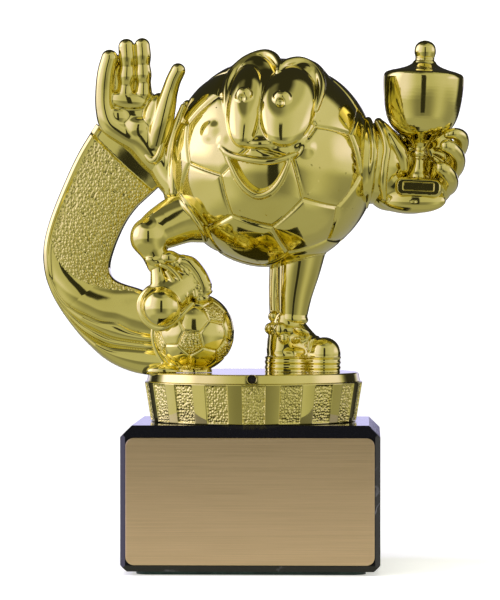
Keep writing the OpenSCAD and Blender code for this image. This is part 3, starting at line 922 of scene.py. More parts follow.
def sweep_tail():
    steps = 36
    outer = flowing(tail_outer, steps)
    inner = flowing(tail_inner, steps)
    lines = flowing(np.array(fold_lines).T, steps)
    stations = len(outer)
    along = np.linspace(0, 1, stations)
    across = 164
    edge = 5
    back_points = 14
    thick = 8.5
    round_off = 0.45
    v = np.linspace(0, 1, across)
    back_v = np.linspace(1, 0, back_points)
    side = np.linspace(0, np.pi, edge + 2)[1:-1]
    low_part = np.clip((along - 0.32) / 0.24, 0, 1)
    low_part = low_part * low_part * (3 - 2 * low_part)
    verts = []
    grained = []
    for i in range(stations):
        line = outer[i] + v[:, None] * (inner[i] - outer[i])
        width = np.linalg.norm(inner[i] - outer[i])
        smooth = lines[i][4]
        grain_zone = np.clip((v - smooth) * width / 0.5, 0, 1)
        end_band = np.clip((i / stations - 0.021 - 0.033 * v) / 0.006, 0, 1)
        grain_zone = grain_zone * end_band * np.clip((1 - v) * width / 0.4, 0, 1)
        # Four folds, each a rounded step in front of the next
        fold = np.zeros(across)
        for a, b, rise in zip(lines[i][:-1], lines[i][1:], fold_rise):
            t = (v - a) / max(b - a, 1e-6)
            belly = np.clip(1 - (2 * t - 1.0) ** 2, 0, 1) ** 0.85 * (1.0 - 0.35 * t)
            fold += np.where((t >= 0) & (t < 1), rise * min(1.0, (b - a) * width / 2.5) * belly, 0)
        rim = 0.8 * np.exp(-((v * width - 0.9) / 0.7) ** 2)
        crown = 1.3 * np.sin(np.pi * np.clip(v, 0, 1)) ** 0.7
        height = low_part[i] * (fold + crown) + (1 - low_part[i]) * (rim + 0.9 * crown)
        height = height - 0.55 * (1 - end_band)
        spot = np.column_stack([line[:, 0], np.zeros(across), line[:, 1]])
        height = height + 0.42 * grain_zone * (pebbles(spot, 1.0, 11) - 0.6)
        forward = -3.2 - 2.4 * np.clip((along[i] - 0.55) / 0.45, 0, 1)
        front = np.column_stack([line[:, 0], forward - height, line[:, 1]])
        inner_way = (inner[i] - outer[i]) / width
        inner_edge = np.column_stack([
            inner[i][0] + inner_way[0] * round_off * np.sin(side),
            forward + thick * (1 - np.cos(side)) / 2,
            inner[i][1] + inner_way[1] * round_off * np.sin(side),
        ])
        outer_edge = np.column_stack([
            outer[i][0] - inner_way[0] * round_off * np.sin(side[::-1]),
            forward + thick * (1 - np.cos(side[::-1])) / 2,
            outer[i][1] - inner_way[1] * round_off * np.sin(side[::-1]),
        ])
        back_line = outer[i] + back_v[:, None] * (inner[i] - outer[i])
        back = np.column_stack([back_line[:, 0], forward + thick + 0.8 * np.sin(np.pi * back_v),
                                back_line[:, 1]])
        verts.append(np.vstack([front, inner_edge, back, outer_edge]))
        grained.append(np.concatenate([grain_zone > 0.5, np.zeros(edge + back_points + edge, dtype=bool)]))
    around = len(verts[0])
    # Close both ends with two shrinking loops
    first, last = verts[0], verts[-1]
    rings = [first.mean(axis=0) + 0.6 * (first - first.mean(axis=0)) + np.array([0.35, 0, 0.5])]
    rings += verts + [last.mean(axis=0) + 0.6 * (last - last.mean(axis=0)) + np.array([0.4, 0, 0])]
    grained = [grained[0] * False] + grained + [grained[-1] * False]
    points = np.vstack(rings + [rings[0].mean(axis=0)[None], rings[-1].mean(axis=0)[None]])
    index = np.arange(around)
    following = (index + 1) % around
    quads = []
    marks = []
    for r in range(len(rings) - 1):
        quads.append(np.stack([r * around + index, (r + 1) * around + index,
                               (r + 1) * around + following, r * around + following], axis=1))
        marks.append(grained[r] & grained[r + 1])
    ends = len(rings) * around
    top_ring = (len(rings) - 1) * around
    tris = np.concatenate([
        np.stack([index, following, np.full(around, ends)], axis=1),
        np.stack([top_ring + following, top_ring + index, np.full(around, ends + 1)], axis=1),
    ])
    points = points + np.array([0.25, 0, figure_drop])
    return points, np.concatenate(quads), tris, np.concatenate(marks).astype(np.int32)


tail_points, tail_quads, tail_tris, tail_marks = sweep_tail()
tail = join_shapes(tail_points, tail_quads, tail_tris, "comet_tail", [smooth_gold, pebbled_gold], tail_marks)
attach(tail, "root")
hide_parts("tail_sweep")


# Standing boot: a solid gold moulding with a layered sole, a round toe cap, a rolled collar and a
# turned-down tongue. It plugs into the deck and the leg plugs into it.
def tilted(normal, up):
    """Axes of a flat form that faces along normal: its width, its height, its depth."""
    normal = np.asarray(normal, dtype=float) / np.linalg.norm(normal)
    up = np.asarray(up, dtype=float)
    up = up - (up @ normal) * normal
    up = up / np.linalg.norm(up)
    return np.stack([np.cross(up, normal), up, normal])


def carve(a, b, soft):
    return -blend(-a, b, soft)


def ball_shape(p, centre, radius):
    return np.linalg.norm(p - np.asarray(centre), axis=1) - radius


def ring_shape(p, centre, axis, radius, thick):
    axis = np.asarray(axis, dtype=float) / np.linalg.norm(axis)
    q = p - np.asarray(centre)
    along = q @ axis
    out = np.linalg.norm(q - along[:, None] * axis, axis=1) - radius
    return np.sqrt(along ** 2 + out ** 2) - thick


def standing_boot_shape(p):
    floor = 55.9
    heel = np.array([8.4, -0.8])
    toe = np.array([19.8, -6.2])
    run = toe - heel
    t = np.clip((p[:, :2] - heel) @ run / (run @ run), 0, 1)
    out = np.linalg.norm(p[:, :2] - heel - t[:, None] * run, axis=1)
    waist = 5.3 - 0.75 * t - 1.5 * np.sin(np.pi * t) ** 2
    ribs = 0.14 * np.cos((p[:, 2] - floor) * 2 * np.pi / 1.5)
    sole = np.maximum(out - waist - ribs, p[:, 2] - floor - 4.4)
    heel_part = np.maximum(np.linalg.norm(p[:, :2] - heel, axis=1) - 5.0 + 0.10 * (p[:, 2] - floor),
                           p[:, 2] - floor - 9.0)
    shape = blend(sole, heel_part, 0.8)
    shape = blend(shape, ball_shape(p, (19.9, -6.2, floor + 5.5), 4.5), 0.6)
    shape = blend(shape, rope_shape(p, [(10.4, -1.2, floor + 11.5), (13.4, -2.8, floor + 8.6),
                                        (17.0, -4.8, floor + 5.8)], (4.7, 4.3, 3.8), 4), 1.2)
    ankle = rope_shape(p, [(8.6, -0.8, floor + 6.5), (8.9, -0.9, floor + 10.5), (9.6, -1.0, floor + 14.0)],
                       (5.0, 4.9, 4.4), 3)
    shape = blend(shape, ankle, 0.8)
    # Rolled collar: an uneven ring with lumps at the back
    shape = blend(shape, ring_shape(p, (9.2, -0.9, floor + 12.2), (0.12, -0.08, 1), 4.4, 1.35), 0.5)
    shape = blend(shape, ball_shape(p, (4.7, -2.6, floor + 12.3), 1.7), 0.4)
    shape = blend(shape, egg_shape(p, (7.5, -5.4, floor + 12.0), (1.7, 1.3, 2.0)), 0.35)
    shape = blend(shape, egg_shape(p, (8.6, -5.6, floor + 9.6), (1.4, 1.2, 1.5)), 0.35)
    # Tongue turned down over the laces
    tongue = egg_shape(p, (13.4, -6.4, floor + 11.4), (2.5, 1.1, 1.9),
                       tilted((0.25, -0.85, 0.45), (0.35, 0.2, 0.9)))
    drop = egg_shape(p, (12.0, -6.7, floor + 9.2), (1.3, 0.9, 2.2),
                     tilted((0.1, -0.95, 0.25), (-0.1, 0.2, 0.97)))
    shape = blend(shape, blend(tongue, drop, 0.4), 0.3)
    for i in range(3):
        lace = rope_shape(p, [(13.4 + 1.3 * i, -7.1 - 0.45 * i, floor + 8.8 - 1.1 * i),
                              (15.2 + 1.1 * i, -6.3 - 0.7 * i, floor + 9.3 - 1.2 * i),
                              (17.0 + 0.8 * i, -4.0 - 0.9 * i, floor + 8.9 - 1.3 * i)], (0.5, 0.6, 0.5), 3)
        shape = blend(shape, lace, 0.25)
    welt = rope_shape(p, [(15.4, -8.5, floor + 6.5), (16.0, -7.8, floor + 9.0), (18.0, -3.9, floor + 9.9)],
                      (0.45, 0.5, 0.45), 4)
    shape = blend(shape, welt, 0.3)
    side_panel = egg_shape(p, (11.6, -6.6, floor + 6.0), (3.2, 0.9, 1.6), tilted((-0.1, -1, 0.1), (0, 0, 1)))
    shape = carve(shape, side_panel, 0.5)
    return np.maximum(shape, deck_level - p[:, 2])


standing_boot = cast("standing_boot_moulding", standing_boot_shape, (2.0, -12.2, 55.0), (26.0, 6.5, 72.5),
                     0.25, 0.15)
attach(standing_boot, "root")
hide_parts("standing_boot")


# Standing leg: a straight tapered leg with a thin seam flange down its left side. The wide hem of
# the shorts closes round its top and a soft sock roll sits on the boot.
def standing_leg_shape(p):
    leg = rope_shape(p, [(13.6, -1.2, 91.0), (12.6, -1.2, 84.5), (11.6, -1.2, 78.0), (11.0, -1.2, 72.0),
                         (10.6, -1.2, 70.0)], (6.9, 6.1, 5.0, 4.15, 3.9), 4)
    flange = rope_shape(p, [(6.6, 0.2, 88.0), (5.9, 0.2, 80.0), (5.9, 0.0, 74.0), (6.6, 0.0, 70.5)],
                        (2.1, 1.6, 1.5, 1.9), 5)
    shape = blend(leg, flange, 0.35)
    roll = blend(ring_shape(p, (11.0, -1.2, 70.9), (0.05, 0, 1), 3.1, 1.35),
                 ball_shape(p, (5.6, -1.6, 71.6), 1.5), 0.5)
    shape = blend(shape, roll, 0.35)
    hem = ring_shape(p, (12.4, -1.2, 87.9), (-0.25, 0.10, 0.97), 7.7, 0.65)
    cloth = rope_shape(p, [(12.6, -1.2, 88.6), (11.8, -0.5, 94.0)], (7.7, 10.5), 3)
    cloth = np.maximum(cloth, 87.3 + 0.257 * (p[:, 0] - 12.4) - p[:, 2])
    return blend(blend(shape, cloth, 0.3), hem, 0.4)


standing_leg = cast("standing_leg_moulding", standing_leg_shape, (1.5, -14.0, 69.0), (26.0, 11.5, 106.5), 0.3)
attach(standing_leg, "root")
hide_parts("standing_leg")


# Raised boot: it rests its toe cap on the football. A welt runs round the cap, straps cross the
# shaft, and bars cross the sole, which faces back and to the right.
def slab_rope(p, points, radii, middle_y, half, pieces=3):
    """A bar along a curve, made wide from front to back."""
    q = p.copy()
    away = q[:, 1] - middle_y
    q[:, 1] = np.sign(away) * np.maximum(np.abs(away) - half, 0)
    return rope_shape(q, [(x, 0.0, z) for x, z in points], radii, pieces)


sole_bars = [((-21.2, 85.6), (-19.3, 87.5)), ((-19.6, 84.4), (-17.3, 86.8)), ((-18.1, 82.8), (-15.6, 85.0)),
             ((-16.9, 81.2), (-14.2, 82.9)), ((-15.9, 79.5), (-13.1, 80.9)), ((-15.2, 77.9), (-12.8, 78.7)),
             ((-15.4, 76.4), (-13.6, 76.8))]


def raised_boot_shape(p):
    shape = ball_shape(p, (-25.6, -17.4, 74.3), 5.4)
    welt = rope_shape(p, [(-20.4, -15.4, 78.6), (-22.6, -15.8, 79.9), (-25.8, -15.8, 80.4),
                          (-28.9, -15.6, 79.3), (-31.1, -15.4, 77.1), (-31.8, -15.2, 74.5),
                          (-31.0, -15.4, 71.6), (-28.7, -15.8, 69.3), (-25.9, -16.4, 68.4),
                          (-23.2, -17.0, 69.4), (-20.2, -17.2, 72.0), (-17.2, -16.4, 75.2)],
                      (0.7, 0.8, 0.9, 0.95, 1.0, 1.0, 1.0, 0.95, 0.9, 0.85, 0.8, 0.6))
    fill = rope_shape(p, [(-26.0, -13.6, 75.0), (-22.0, -13.0, 78.5), (-18.5, -11.5, 81.5)],
                      (6.4, 5.4, 4.6), 3)
    shape = blend(blend(shape, fill, 0.5), welt, 0.35)
    shaft = rope_shape(p, [(-26.6, -12.6, 87.5), (-26.4, -13.2, 83.5), (-26.0, -14.6, 79.5)],
                       (2.5, 2.6, 3.0), 4)
    shape = blend(shape, shaft, 0.5)
    heel = rope_shape(p, [(-23.5, -12.2, 86.5), (-20.5, -11.6, 84.5), (-17.0, -11.5, 80.5)],
                      (3.4, 3.6, 3.8), 3)
    shape = blend(shape, heel, 0.6)
    # Straps and the tongue's edge
    strap = rope_shape(p, [(-25.8, -16.3, 86.0), (-23.2, -16.5, 84.8), (-21.2, -16.4, 82.7),
                           (-19.9, -16.5, 80.0), (-18.8, -16.8, 77.4)], (0.6, 0.75, 0.8, 0.75, 0.6), 5)
    shape = blend(shape, strap, 0.3)
    strap_in = rope_shape(p, [(-24.2, -16.0, 83.9), (-22.9, -16.6, 81.9), (-21.9, -17.2, 79.4)],
                          (0.6, 0.75, 0.5), 4)
    shape = blend(shape, strap_in, 0.3)
    side = rope_shape(p, [(-21.8, -14.8, 86.6), (-19.8, -14.9, 84.8), (-18.0, -14.9, 82.4),
                          (-16.8, -15.0, 79.8), (-16.4, -15.6, 77.4)], (0.8, 0.9, 0.9, 0.9, 0.8), 4)
    shape = blend(shape, side, 0.3)
    sole = slab_rope(p, [(-20.0, 87.0), (-17.9, 86.2), (-16.2, 84.3), (-14.9, 82.2), (-14.0, 79.9),
                         (-14.4, 77.6)],
                     (1.9, 2.1, 2.15, 2.15, 2.0, 1.7), -11.6, 2.3)
    for inner_end, outer_end in sole_bars:
        bar = slab_rope(p, [inner_end, outer_end], (0.95, 0.95), -11.6, 3.0, 1)
        sole = blend(sole, bar, 0.3)
    shape = blend(shape, sole, 0.35)
    for inner_end, outer_end in sole_bars[1:]:
        knob = egg_shape(p, (inner_end[0] + 0.1, -15.0, inner_end[1] + 0.1), (1.15, 0.9, 0.95))
        shape = blend(shape, knob, 0.25)
    return shape


raised_boot = cast("raised_boot_moulding", raised_boot_shape, (-34.0, -23.8, 66.0), (-9.5, -4.5, 91.0), 0.25,
                   0.7, 0.15)
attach(raised_boot, "root")
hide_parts("bent_boot")


# Raised leg: thigh, knee and shin in one moulding. The hem of the shorts stands up as a thin rim
# where the thigh comes out, and the sock ends in two soft folds above the boot.
def raised_leg_shape(p):
    thigh = rope_shape(p, [(-12.5, -5.5, 99.9), (-19.0, -7.5, 99.5), (-25.0, -9.6, 96.8),
                           (-29.0, -11.2, 94.2)],
                       (7.6, 7.3, 6.3, 5.3), 4)
    knee = ball_shape(p, (-29.3, -12.6, 93.9), 5.0)
    shin = rope_shape(p, [(-29.2, -12.2, 93.0), (-27.7, -12.4, 89.4), (-26.9, -12.6, 86.4)],
                      (4.9, 3.8, 3.0), 4)
    shape = blend(blend(thigh, knee, 1.0), shin, 0.8)
    fold = blend(egg_shape(p, (-28.2, -14.4, 87.6), (2.1, 1.9, 1.25)),
                 egg_shape(p, (-23.6, -13.6, 88.0), (2.9, 2.6, 2.2)), 0.3)
    ring = ring_shape(p, (-26.6, -12.4, 87.2), (0.1, -0.1, 1), 2.7, 1.2)
    shape = blend(shape, blend(fold, ring, 0.4), 0.35)
    hem = rope_shape(p, [(-22.6, -6.0, 107.0), (-21.4, -9.6, 105.6), (-19.8, -13.2, 103.4),
                         (-17.8, -15.0, 101.0), (-15.6, -15.2, 98.0), (-14.3, -13.6, 95.4),
                         (-13.6, -10.0, 93.0)],
                     (0.55, 0.6, 0.7, 0.75, 0.75, 0.7, 0.6), 5)
    cloth = rope_shape(p, [(-17.2, -7.4, 101.2), (-10.0, -6.0, 104.0)], (7.7, 8.6), 3)
    beyond = (p - np.array([-18.6, -8.0, 101.0])) @ np.array([-0.86, -0.10, -0.50])
    cloth = np.maximum(cloth, beyond)
    return blend(blend(shape, cloth, 0.3), hem, 0.35)


raised_leg = cast("raised_leg_moulding", raised_leg_shape, (-36.0, -19.5, 84.0), (-2.5, 4.5, 114.0), 0.3,
                  0.5)
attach(raised_leg, "root")
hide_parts("bent_leg")


# Ball body: two half shells with sunk seams, glued edge to edge, gold all over. The front shell
# carries a friendly face: two tall domed eyes under thick brows, a small nose and an open smile.
body_centre = np.array([5.2, 0.0, 114.8])
body_radius = 29.6
body_turn = np.array(Euler((math.radians(17.3), math.radians(-9.9), math.radians(-143.6)), "XYZ").to_matrix())


def panelled_ball(q):
    reach = np.linalg.norm(q, axis=1)
    gap, _ = seams(q / np.maximum(reach, 1e-6)[:, None], body_turn)
    gap = gap * body_radius
    return reach - (body_radius - 0.50 * np.exp(-(gap / 0.50) ** 2) - 0.38 * np.exp(-gap / 2.2))


def back_shell_shape(p):
    q = p - body_centre
    return -blend(-panelled_ball(q), q[:, 1] - 0.03, 0.25)


def on_skin(x, z, reach):
    return (x, -math.sqrt(max(reach ** 2 - x * x - z * z, 0.01)), z)


left_eye = (np.array([-7.5, -20.9, 16.3]), (5.7, 14.4, 5.0),
            tilted((-0.27, -0.767, 0.584), (0.064, 0.59, 0.804)))
right_eye = (np.array([4.3, -21.8, 16.2]), (8.3, 14.2, 5.1),
             tilted((0.149, -0.797, 0.584), (0.149, 0.602, 0.784)))
left_brow = [on_skin(*s) for s in (
    (-12.0, 7.5, 28.9), (-12.8, 13.5, 29.6), (-13.2, 19.0, 30.3), (-12.9, 23.0, 30.8), (-11.4, 26.4, 31.4),
    (-8.6, 29.1, 32.3), (-5.3, 30.8, 33.0), (-2.2, 31.4, 33.3), (0.2, 30.4, 33.0), (1.6, 28.2, 32.4),
    (1.6, 26.0, 31.9))]
left_brow_thick = (0.4, 0.6, 0.85, 1.05, 1.25, 1.45, 1.5, 1.5, 1.4, 1.1, 0.8)
right_brow = [on_skin(*s) for s in (
    (1.7, 26.6, 31.9), (3.6, 28.6, 32.3), (7.4, 29.3, 32.5), (10.8, 27.9, 32.2), (13.1, 25.0, 31.5),
    (13.9, 21.8, 31.0), (13.4, 18.3, 30.6), (12.4, 15.0, 30.1))]
right_brow_thick = (0.8, 1.2, 1.45, 1.5, 1.45, 1.2, 0.8, 0.5)
upper_lip = [on_skin(x, z, body_radius + 0.25) for x, z in (
    (-14.4, 4.4), (-11.8, 2.3), (-7.1, 1.0), (-2.4, 0.3), (2.2, 0.8), (6.5, 2.4))]
upper_lip_thick = (0.6, 0.85, 1.0, 1.05, 0.95, 0.6)
lower_lip = [on_skin(x, z, body_radius + 0.2) for x, z in (
    (-13.2, 2.9), (-11.4, -1.0), (-9.6, -4.6), (-7.1, -7.6), (-3.9, -9.3), (-0.4, -8.2), (2.2, -5.4),
    (4.1, -1.5), (4.9, 1.0))]
lower_lip_thick = (0.6, 0.75, 0.85, 0.95, 1.05, 0.95, 0.85, 0.75, 0.6)
mouth_outline = flowing([(-11.6, 1.2), (-7.1, 0.2), (-2.4, -0.4), (1.8, 0.0), (4.0, 0.6), (3.2, -2.2),
                         (1.6, -5.0), (-0.8, -7.2), (-3.9, -8.3), (-6.6, -6.8), (-8.9, -4.2), (-10.6, -1.0),
                         (-11.6, 1.2)], 4)


def inside_outline(x, z, outline):
    """Distance to a closed outline in the flat, negative inside."""
    outline = np.asarray(outline)
    low = outline.min(axis=0)
    high = outline.max(axis=0)
    gap = np.hypot(np.maximum(np.maximum(low[0] - x, x - high[0]), 0),
                   np.maximum(np.maximum(low[1] - z, z - high[1]), 0))
    near = gap < 2.5
    out = gap + 0.0
    out[near] = outline_distance(x[near], z[near], outline)
    return out


def outline_distance(x, z, outline):
    best = np.full(len(x), 1e9)
    odd = np.zeros(len(x), dtype=bool)
    for (ax, az), (bx, bz) in zip(outline[:-1], outline[1:]):
        ex, ez = bx - ax, bz - az
        t = np.clip(((x - ax) * ex + (z - az) * ez) / max(ex * ex + ez * ez, 1e-9), 0, 1)
        best = np.minimum(best, (x - ax - t * ex) ** 2 + (z - az - t * ez) ** 2)
        if abs(ez) > 1e-9:
            crosses = ((az > z) != (bz > z)) & (x < ex * (z - az) / ez + ax)
            odd ^= crosses
    return np.where(odd, -1, 1) * np.sqrt(best)


def front_shell_shape(p):
    q = p - body_centre
    shape = panelled_ball(q)
    # The face was drawn flat, so it's drawn in a little as it wraps on
    q = np.column_stack([(q[:, 0] - 0.67) / 0.974, q[:, 1], (q[:, 2] + 0.68) / 0.974])
    hoods = blend(egg_shape(q, (-4.6, -7.5, 24.5), (8.0, 8.5, 7.6)),
                  egg_shape(q, (8.0, -8.0, 23.6), (7.4, 8.5, 6.8)), 1.5)
    shape = blend(shape, hoods, 2.2)
    eyes = blend(egg_shape(q, *left_eye), egg_shape(q, *right_eye), 0.25)
    shape = blend(shape, eyes, 0.35)
    brows = blend(rope_shape(q, left_brow, left_brow_thick, 5),
                  rope_shape(q, right_brow, right_brow_thick, 5), 0.5)
    shape = blend(shape, brows, 0.6)
    # Pupils: flat domes with a dimple
    shape = blend(shape, egg_shape(q, (-7.9, -24.7, 18.9), (2.4, 2.0, 2.7)), 0.5)
    shape = blend(shape, egg_shape(q, (2.9, -26.0, 17.7), (2.7, 2.1, 2.9)), 0.5)
    shape = carve(shape, ball_shape(q, (-8.6, -27.1, 18.2), 1.25), 0.35)
    shape = carve(shape, ball_shape(q, (2.3, -28.5, 17.0), 1.35), 0.35)
    # Cheeks and nose
    shape = blend(shape, ball_shape(q, on_skin(-16.4, 8.4, body_radius - 1.5), 3.2), 1.6)
    shape = blend(shape, ball_shape(q, on_skin(-13.4, 6.4, body_radius - 0.9), 1.6), 1.2)
    shape = blend(shape, ball_shape(q, on_skin(8.9, 4.4, body_radius - 1.9), 2.7), 1.8)
    shape = blend(shape, egg_shape(q, on_skin(-3.4, 5.3, body_radius - 0.5), (4.0, 2.0, 1.6)), 1.2)
    # Open smile with lips
    reach = np.linalg.norm(q, axis=1)
    hollow = np.maximum(inside_outline(q[:, 0], q[:, 2], mouth_outline), (body_radius - 2.0) - reach)
    hollow = np.maximum(hollow, q[:, 1] + 15)
    shape = carve(shape, hollow, 0.7)
    lips = blend(rope_shape(q, upper_lip, upper_lip_thick, 5), rope_shape(q, lower_lip, lower_lip_thick, 5),
                 0.4)
    shape = blend(shape, lips, 0.45)
    return -blend(-shape, -q[:, 1] - 0.03, 0.25)


ball_back = cast("ball_back", back_shell_shape, (-25.5, -0.5, 84.5), (35.8, 30.5, 145.2), 0.5)
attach(ball_back, "root")
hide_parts("ball_back_shell")
ball_front = cast("ball_front", front_shell_shape, (-25.5, -33.5, 84.5), (35.8, 0.8, 150.5), 0.36)
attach(ball_front, "root")
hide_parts("ball_front_shell")


# Waving arm: a short sleeve that plugs into the ball, with a turned-down cuff that dips in front.
# A thin skin of plastic joins it to the ball, as moulders leave it to strengthen the arm.
def waving_arm_shape(p):
    arm = rope_shape(p, [(-29.0, -3.6, 121.5), (-26.2, -4.6, 115.4), (-23.0, -5.5, 110.0),
                         (-18.0, -7.0, 106.0)],
                     (5.0, 4.4, 4.3, 4.2), 4)
    cuff = rope_shape(p, [(-33.2, -4.8, 122.0), (-31.3, -7.2, 119.0), (-28.7, -8.6, 115.7),
                          (-26.9, -8.9, 116.6), (-25.7, -8.4, 120.2), (-25.4, -7.4, 123.6)],
                      (0.7, 0.9, 1.05, 1.0, 0.85, 0.6), 5)
    shape = blend(arm, cuff, 0.4)
    for y, radii, path in (
        (-7.6, (0.9, 1.3, 1.5, 1.5, 1.2), ((-19.8, 130.6), (-21.9, 124.5), (-23.5, 117.5), (-24.1, 111.5),
                                           (-24.0, 106.5))),
        (-9.2, (0.8, 1.2, 1.4, 1.5, 1.2), ((-17.0, 132.4), (-19.6, 126.0), (-21.5, 119.0), (-22.3, 112.0),
                                           (-22.4, 106.5))),
        (-5.4, (1.6, 2.6, 3.0, 3.2, 2.6), ((-18.6, 131.0), (-20.6, 125.0), (-22.4, 118.0), (-23.0, 112.0),
                                           (-22.8, 106.0))),
    ):
        ridge = rope_shape(p, [(x, y, z) for x, z in path], radii, 5)
        shape = blend(shape, ridge, 0.45)
    return shape


waving_arm = cast("waving_arm_moulding", waving_arm_shape, (-36.5, -14.0, 100.5), (-12.5, 3.0, 136.5), 0.3,
                  0.4, -0.3)
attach(waving_arm, "root")
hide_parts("waving_arm")


# Waving glove: three thick fingers and a thumb round a padded palm that faces front. The pads meet
# in two creases, and each finger is a little waisted at its joints.
def waving_glove_shape(p):
    outer_finger = rope_shape(p, [(-40.4, -8.0, 144.2), (-41.4, -7.6, 140.2), (-41.9, -7.0, 135.2),
                                  (-41.8, -6.6, 130.2), (-40.4, -6.4, 125.8), (-37.0, -6.2, 123.2),
                                  (-32.6, -5.8, 120.6), (-28.6, -5.2, 116.4)],
                              (2.35, 2.5, 2.6, 2.7, 3.0, 3.1, 3.2, 3.0), 4)
    middle_finger = rope_shape(p, [(-35.7, -7.6, 147.3), (-35.5, -7.4, 144.4), (-35.5, -7.0, 141.9),
                                   (-35.6, -6.9, 139.2), (-35.8, -6.4, 136.8), (-36.0, -6.2, 134.0)],
                               (2.3, 2.4, 2.15, 2.45, 2.15, 2.5), 4)
    third_finger = rope_shape(p, [(-31.3, -7.6, 147.6), (-31.1, -7.4, 144.8), (-31.1, -7.0, 142.4),
                                  (-31.0, -6.9, 139.7), (-30.9, -6.4, 137.4), (-31.0, -6.2, 134.4)],
                              (2.2, 2.3, 2.05, 2.35, 2.05, 2.5), 4)
    thumb = rope_shape(p, [(-21.2, -9.0, 140.6), (-22.5, -8.8, 137.9), (-23.6, -8.4, 134.6),
                           (-24.7, -8.0, 130.5), (-26.0, -7.4, 125.4), (-27.4, -6.4, 120.4)],
                       (2.1, 2.15, 2.35, 2.9, 3.3, 3.2), 4)
    palm = egg_shape(p, (-34.6, -3.0, 128.4), (8.4, 4.8, 9.0))
    webs = egg_shape(p, (-36.8, -4.9, 138.0), (6.4, 7.6, 1.7), tilted((0.0, -1.0, 0.1), (-0.08, 0.1, 1.0)))
    shape = blend(palm, webs, 0.8)
    for digit in (outer_finger, middle_finger, third_finger, thumb):
        shape = blend(shape, digit, 0.4)
    facing = (0.0, -1.0, 0.15)
    for spot, radii, up in (
        ((-35.4, -6.4, 132.4), (6.0, 2.9, 2.8), (0.12, 0.0, 1.0)),
        ((-27.9, -6.6, 129.4), (2.9, 5.4, 2.8), (0.35, 0.0, 1.0)),
        ((-32.2, -6.6, 124.6), (3.6, 3.0, 2.9), (-0.3, 0.0, 1.0)),
        ((-38.2, -6.0, 127.9), (3.8, 3.1, 2.8), (0.2, 0.0, 1.0)),
    ):
        shape = blend(shape, egg_shape(p, spot, radii, tilted(facing, up)), 0.5)
    wrist = rope_shape(p, [(-33.0, -4.0, 124.0), (-28.6, -4.4, 117.6), (-25.0, -4.8, 113.0)],
                       (5.4, 4.8, 3.8), 3)
    return blend(shape, wrist, 0.6)


waving_glove = cast("waving_glove_moulding", waving_glove_shape, (-47.0, -12.5, 107.5), (-17.5, 3.5, 151.5),
                    0.28, 0.4, -0.3)
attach(waving_glove, "root")
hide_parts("waving_glove")


# Cup arm: a wide soft sleeve that comes out of the ball, gathered into folds that run round it.
# It plugs into the ball and the glove plugs into it.
def cup_arm_shape(p):
    sleeve = rope_shape(p, [(22.0, -3.0, 114.5), (28.0, -3.0, 114.6), (33.0, -1.6, 114.6)],
                        (9.5, 11.2, 11.4), 3)
    fold_front = rope_shape(p, [(31.9, 2.5, 126.4), (32.4, -4.5, 126.4), (33.4, -10.4, 122.4),
                                (33.8, -13.2, 117.0), (33.0, -12.6, 111.6), (32.4, -9.5, 106.4),
                                (31.5, -3.0, 102.9), (31.5, 3.0, 103.4), (31.6, 9.0, 108.0),
                                (31.8, 9.6, 119.0), (31.9, 2.5, 126.4)],
                            (0.9, 0.95, 1.0, 1.05, 1.0, 0.95, 0.9, 0.9, 0.9, 0.9, 0.9), 5)
    fold_root = rope_shape(p, [(26.0, -15.8, 123.2), (27.6, -15.4, 119.4), (28.9, -14.9, 115.4),
                               (29.3, -14.4, 111.8), (27.8, -14.6, 108.4), (25.2, -15.0, 105.4)],
                           (0.45, 0.65, 0.75, 0.7, 0.6, 0.4), 5)
    between = rope_shape(p, [(28.5, -9.5, 121.5), (30.6, -9.8, 116.0), (30.4, -9.6, 110.8),
                             (28.2, -9.6, 106.4)],
                         (3.2, 4.0, 4.0, 3.0), 3)
    shape = blend(blend(sleeve, between, 1.2), fold_root, 0.5)
    return blend(shape, fold_front, 0.5)


cup_arm = cast("cup_arm_moulding", cup_arm_shape, (12.0, -18.5, 101.0), (45.0, 11.5, 128.5), 0.32)
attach(cup_arm, "root")
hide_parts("cup_arm")


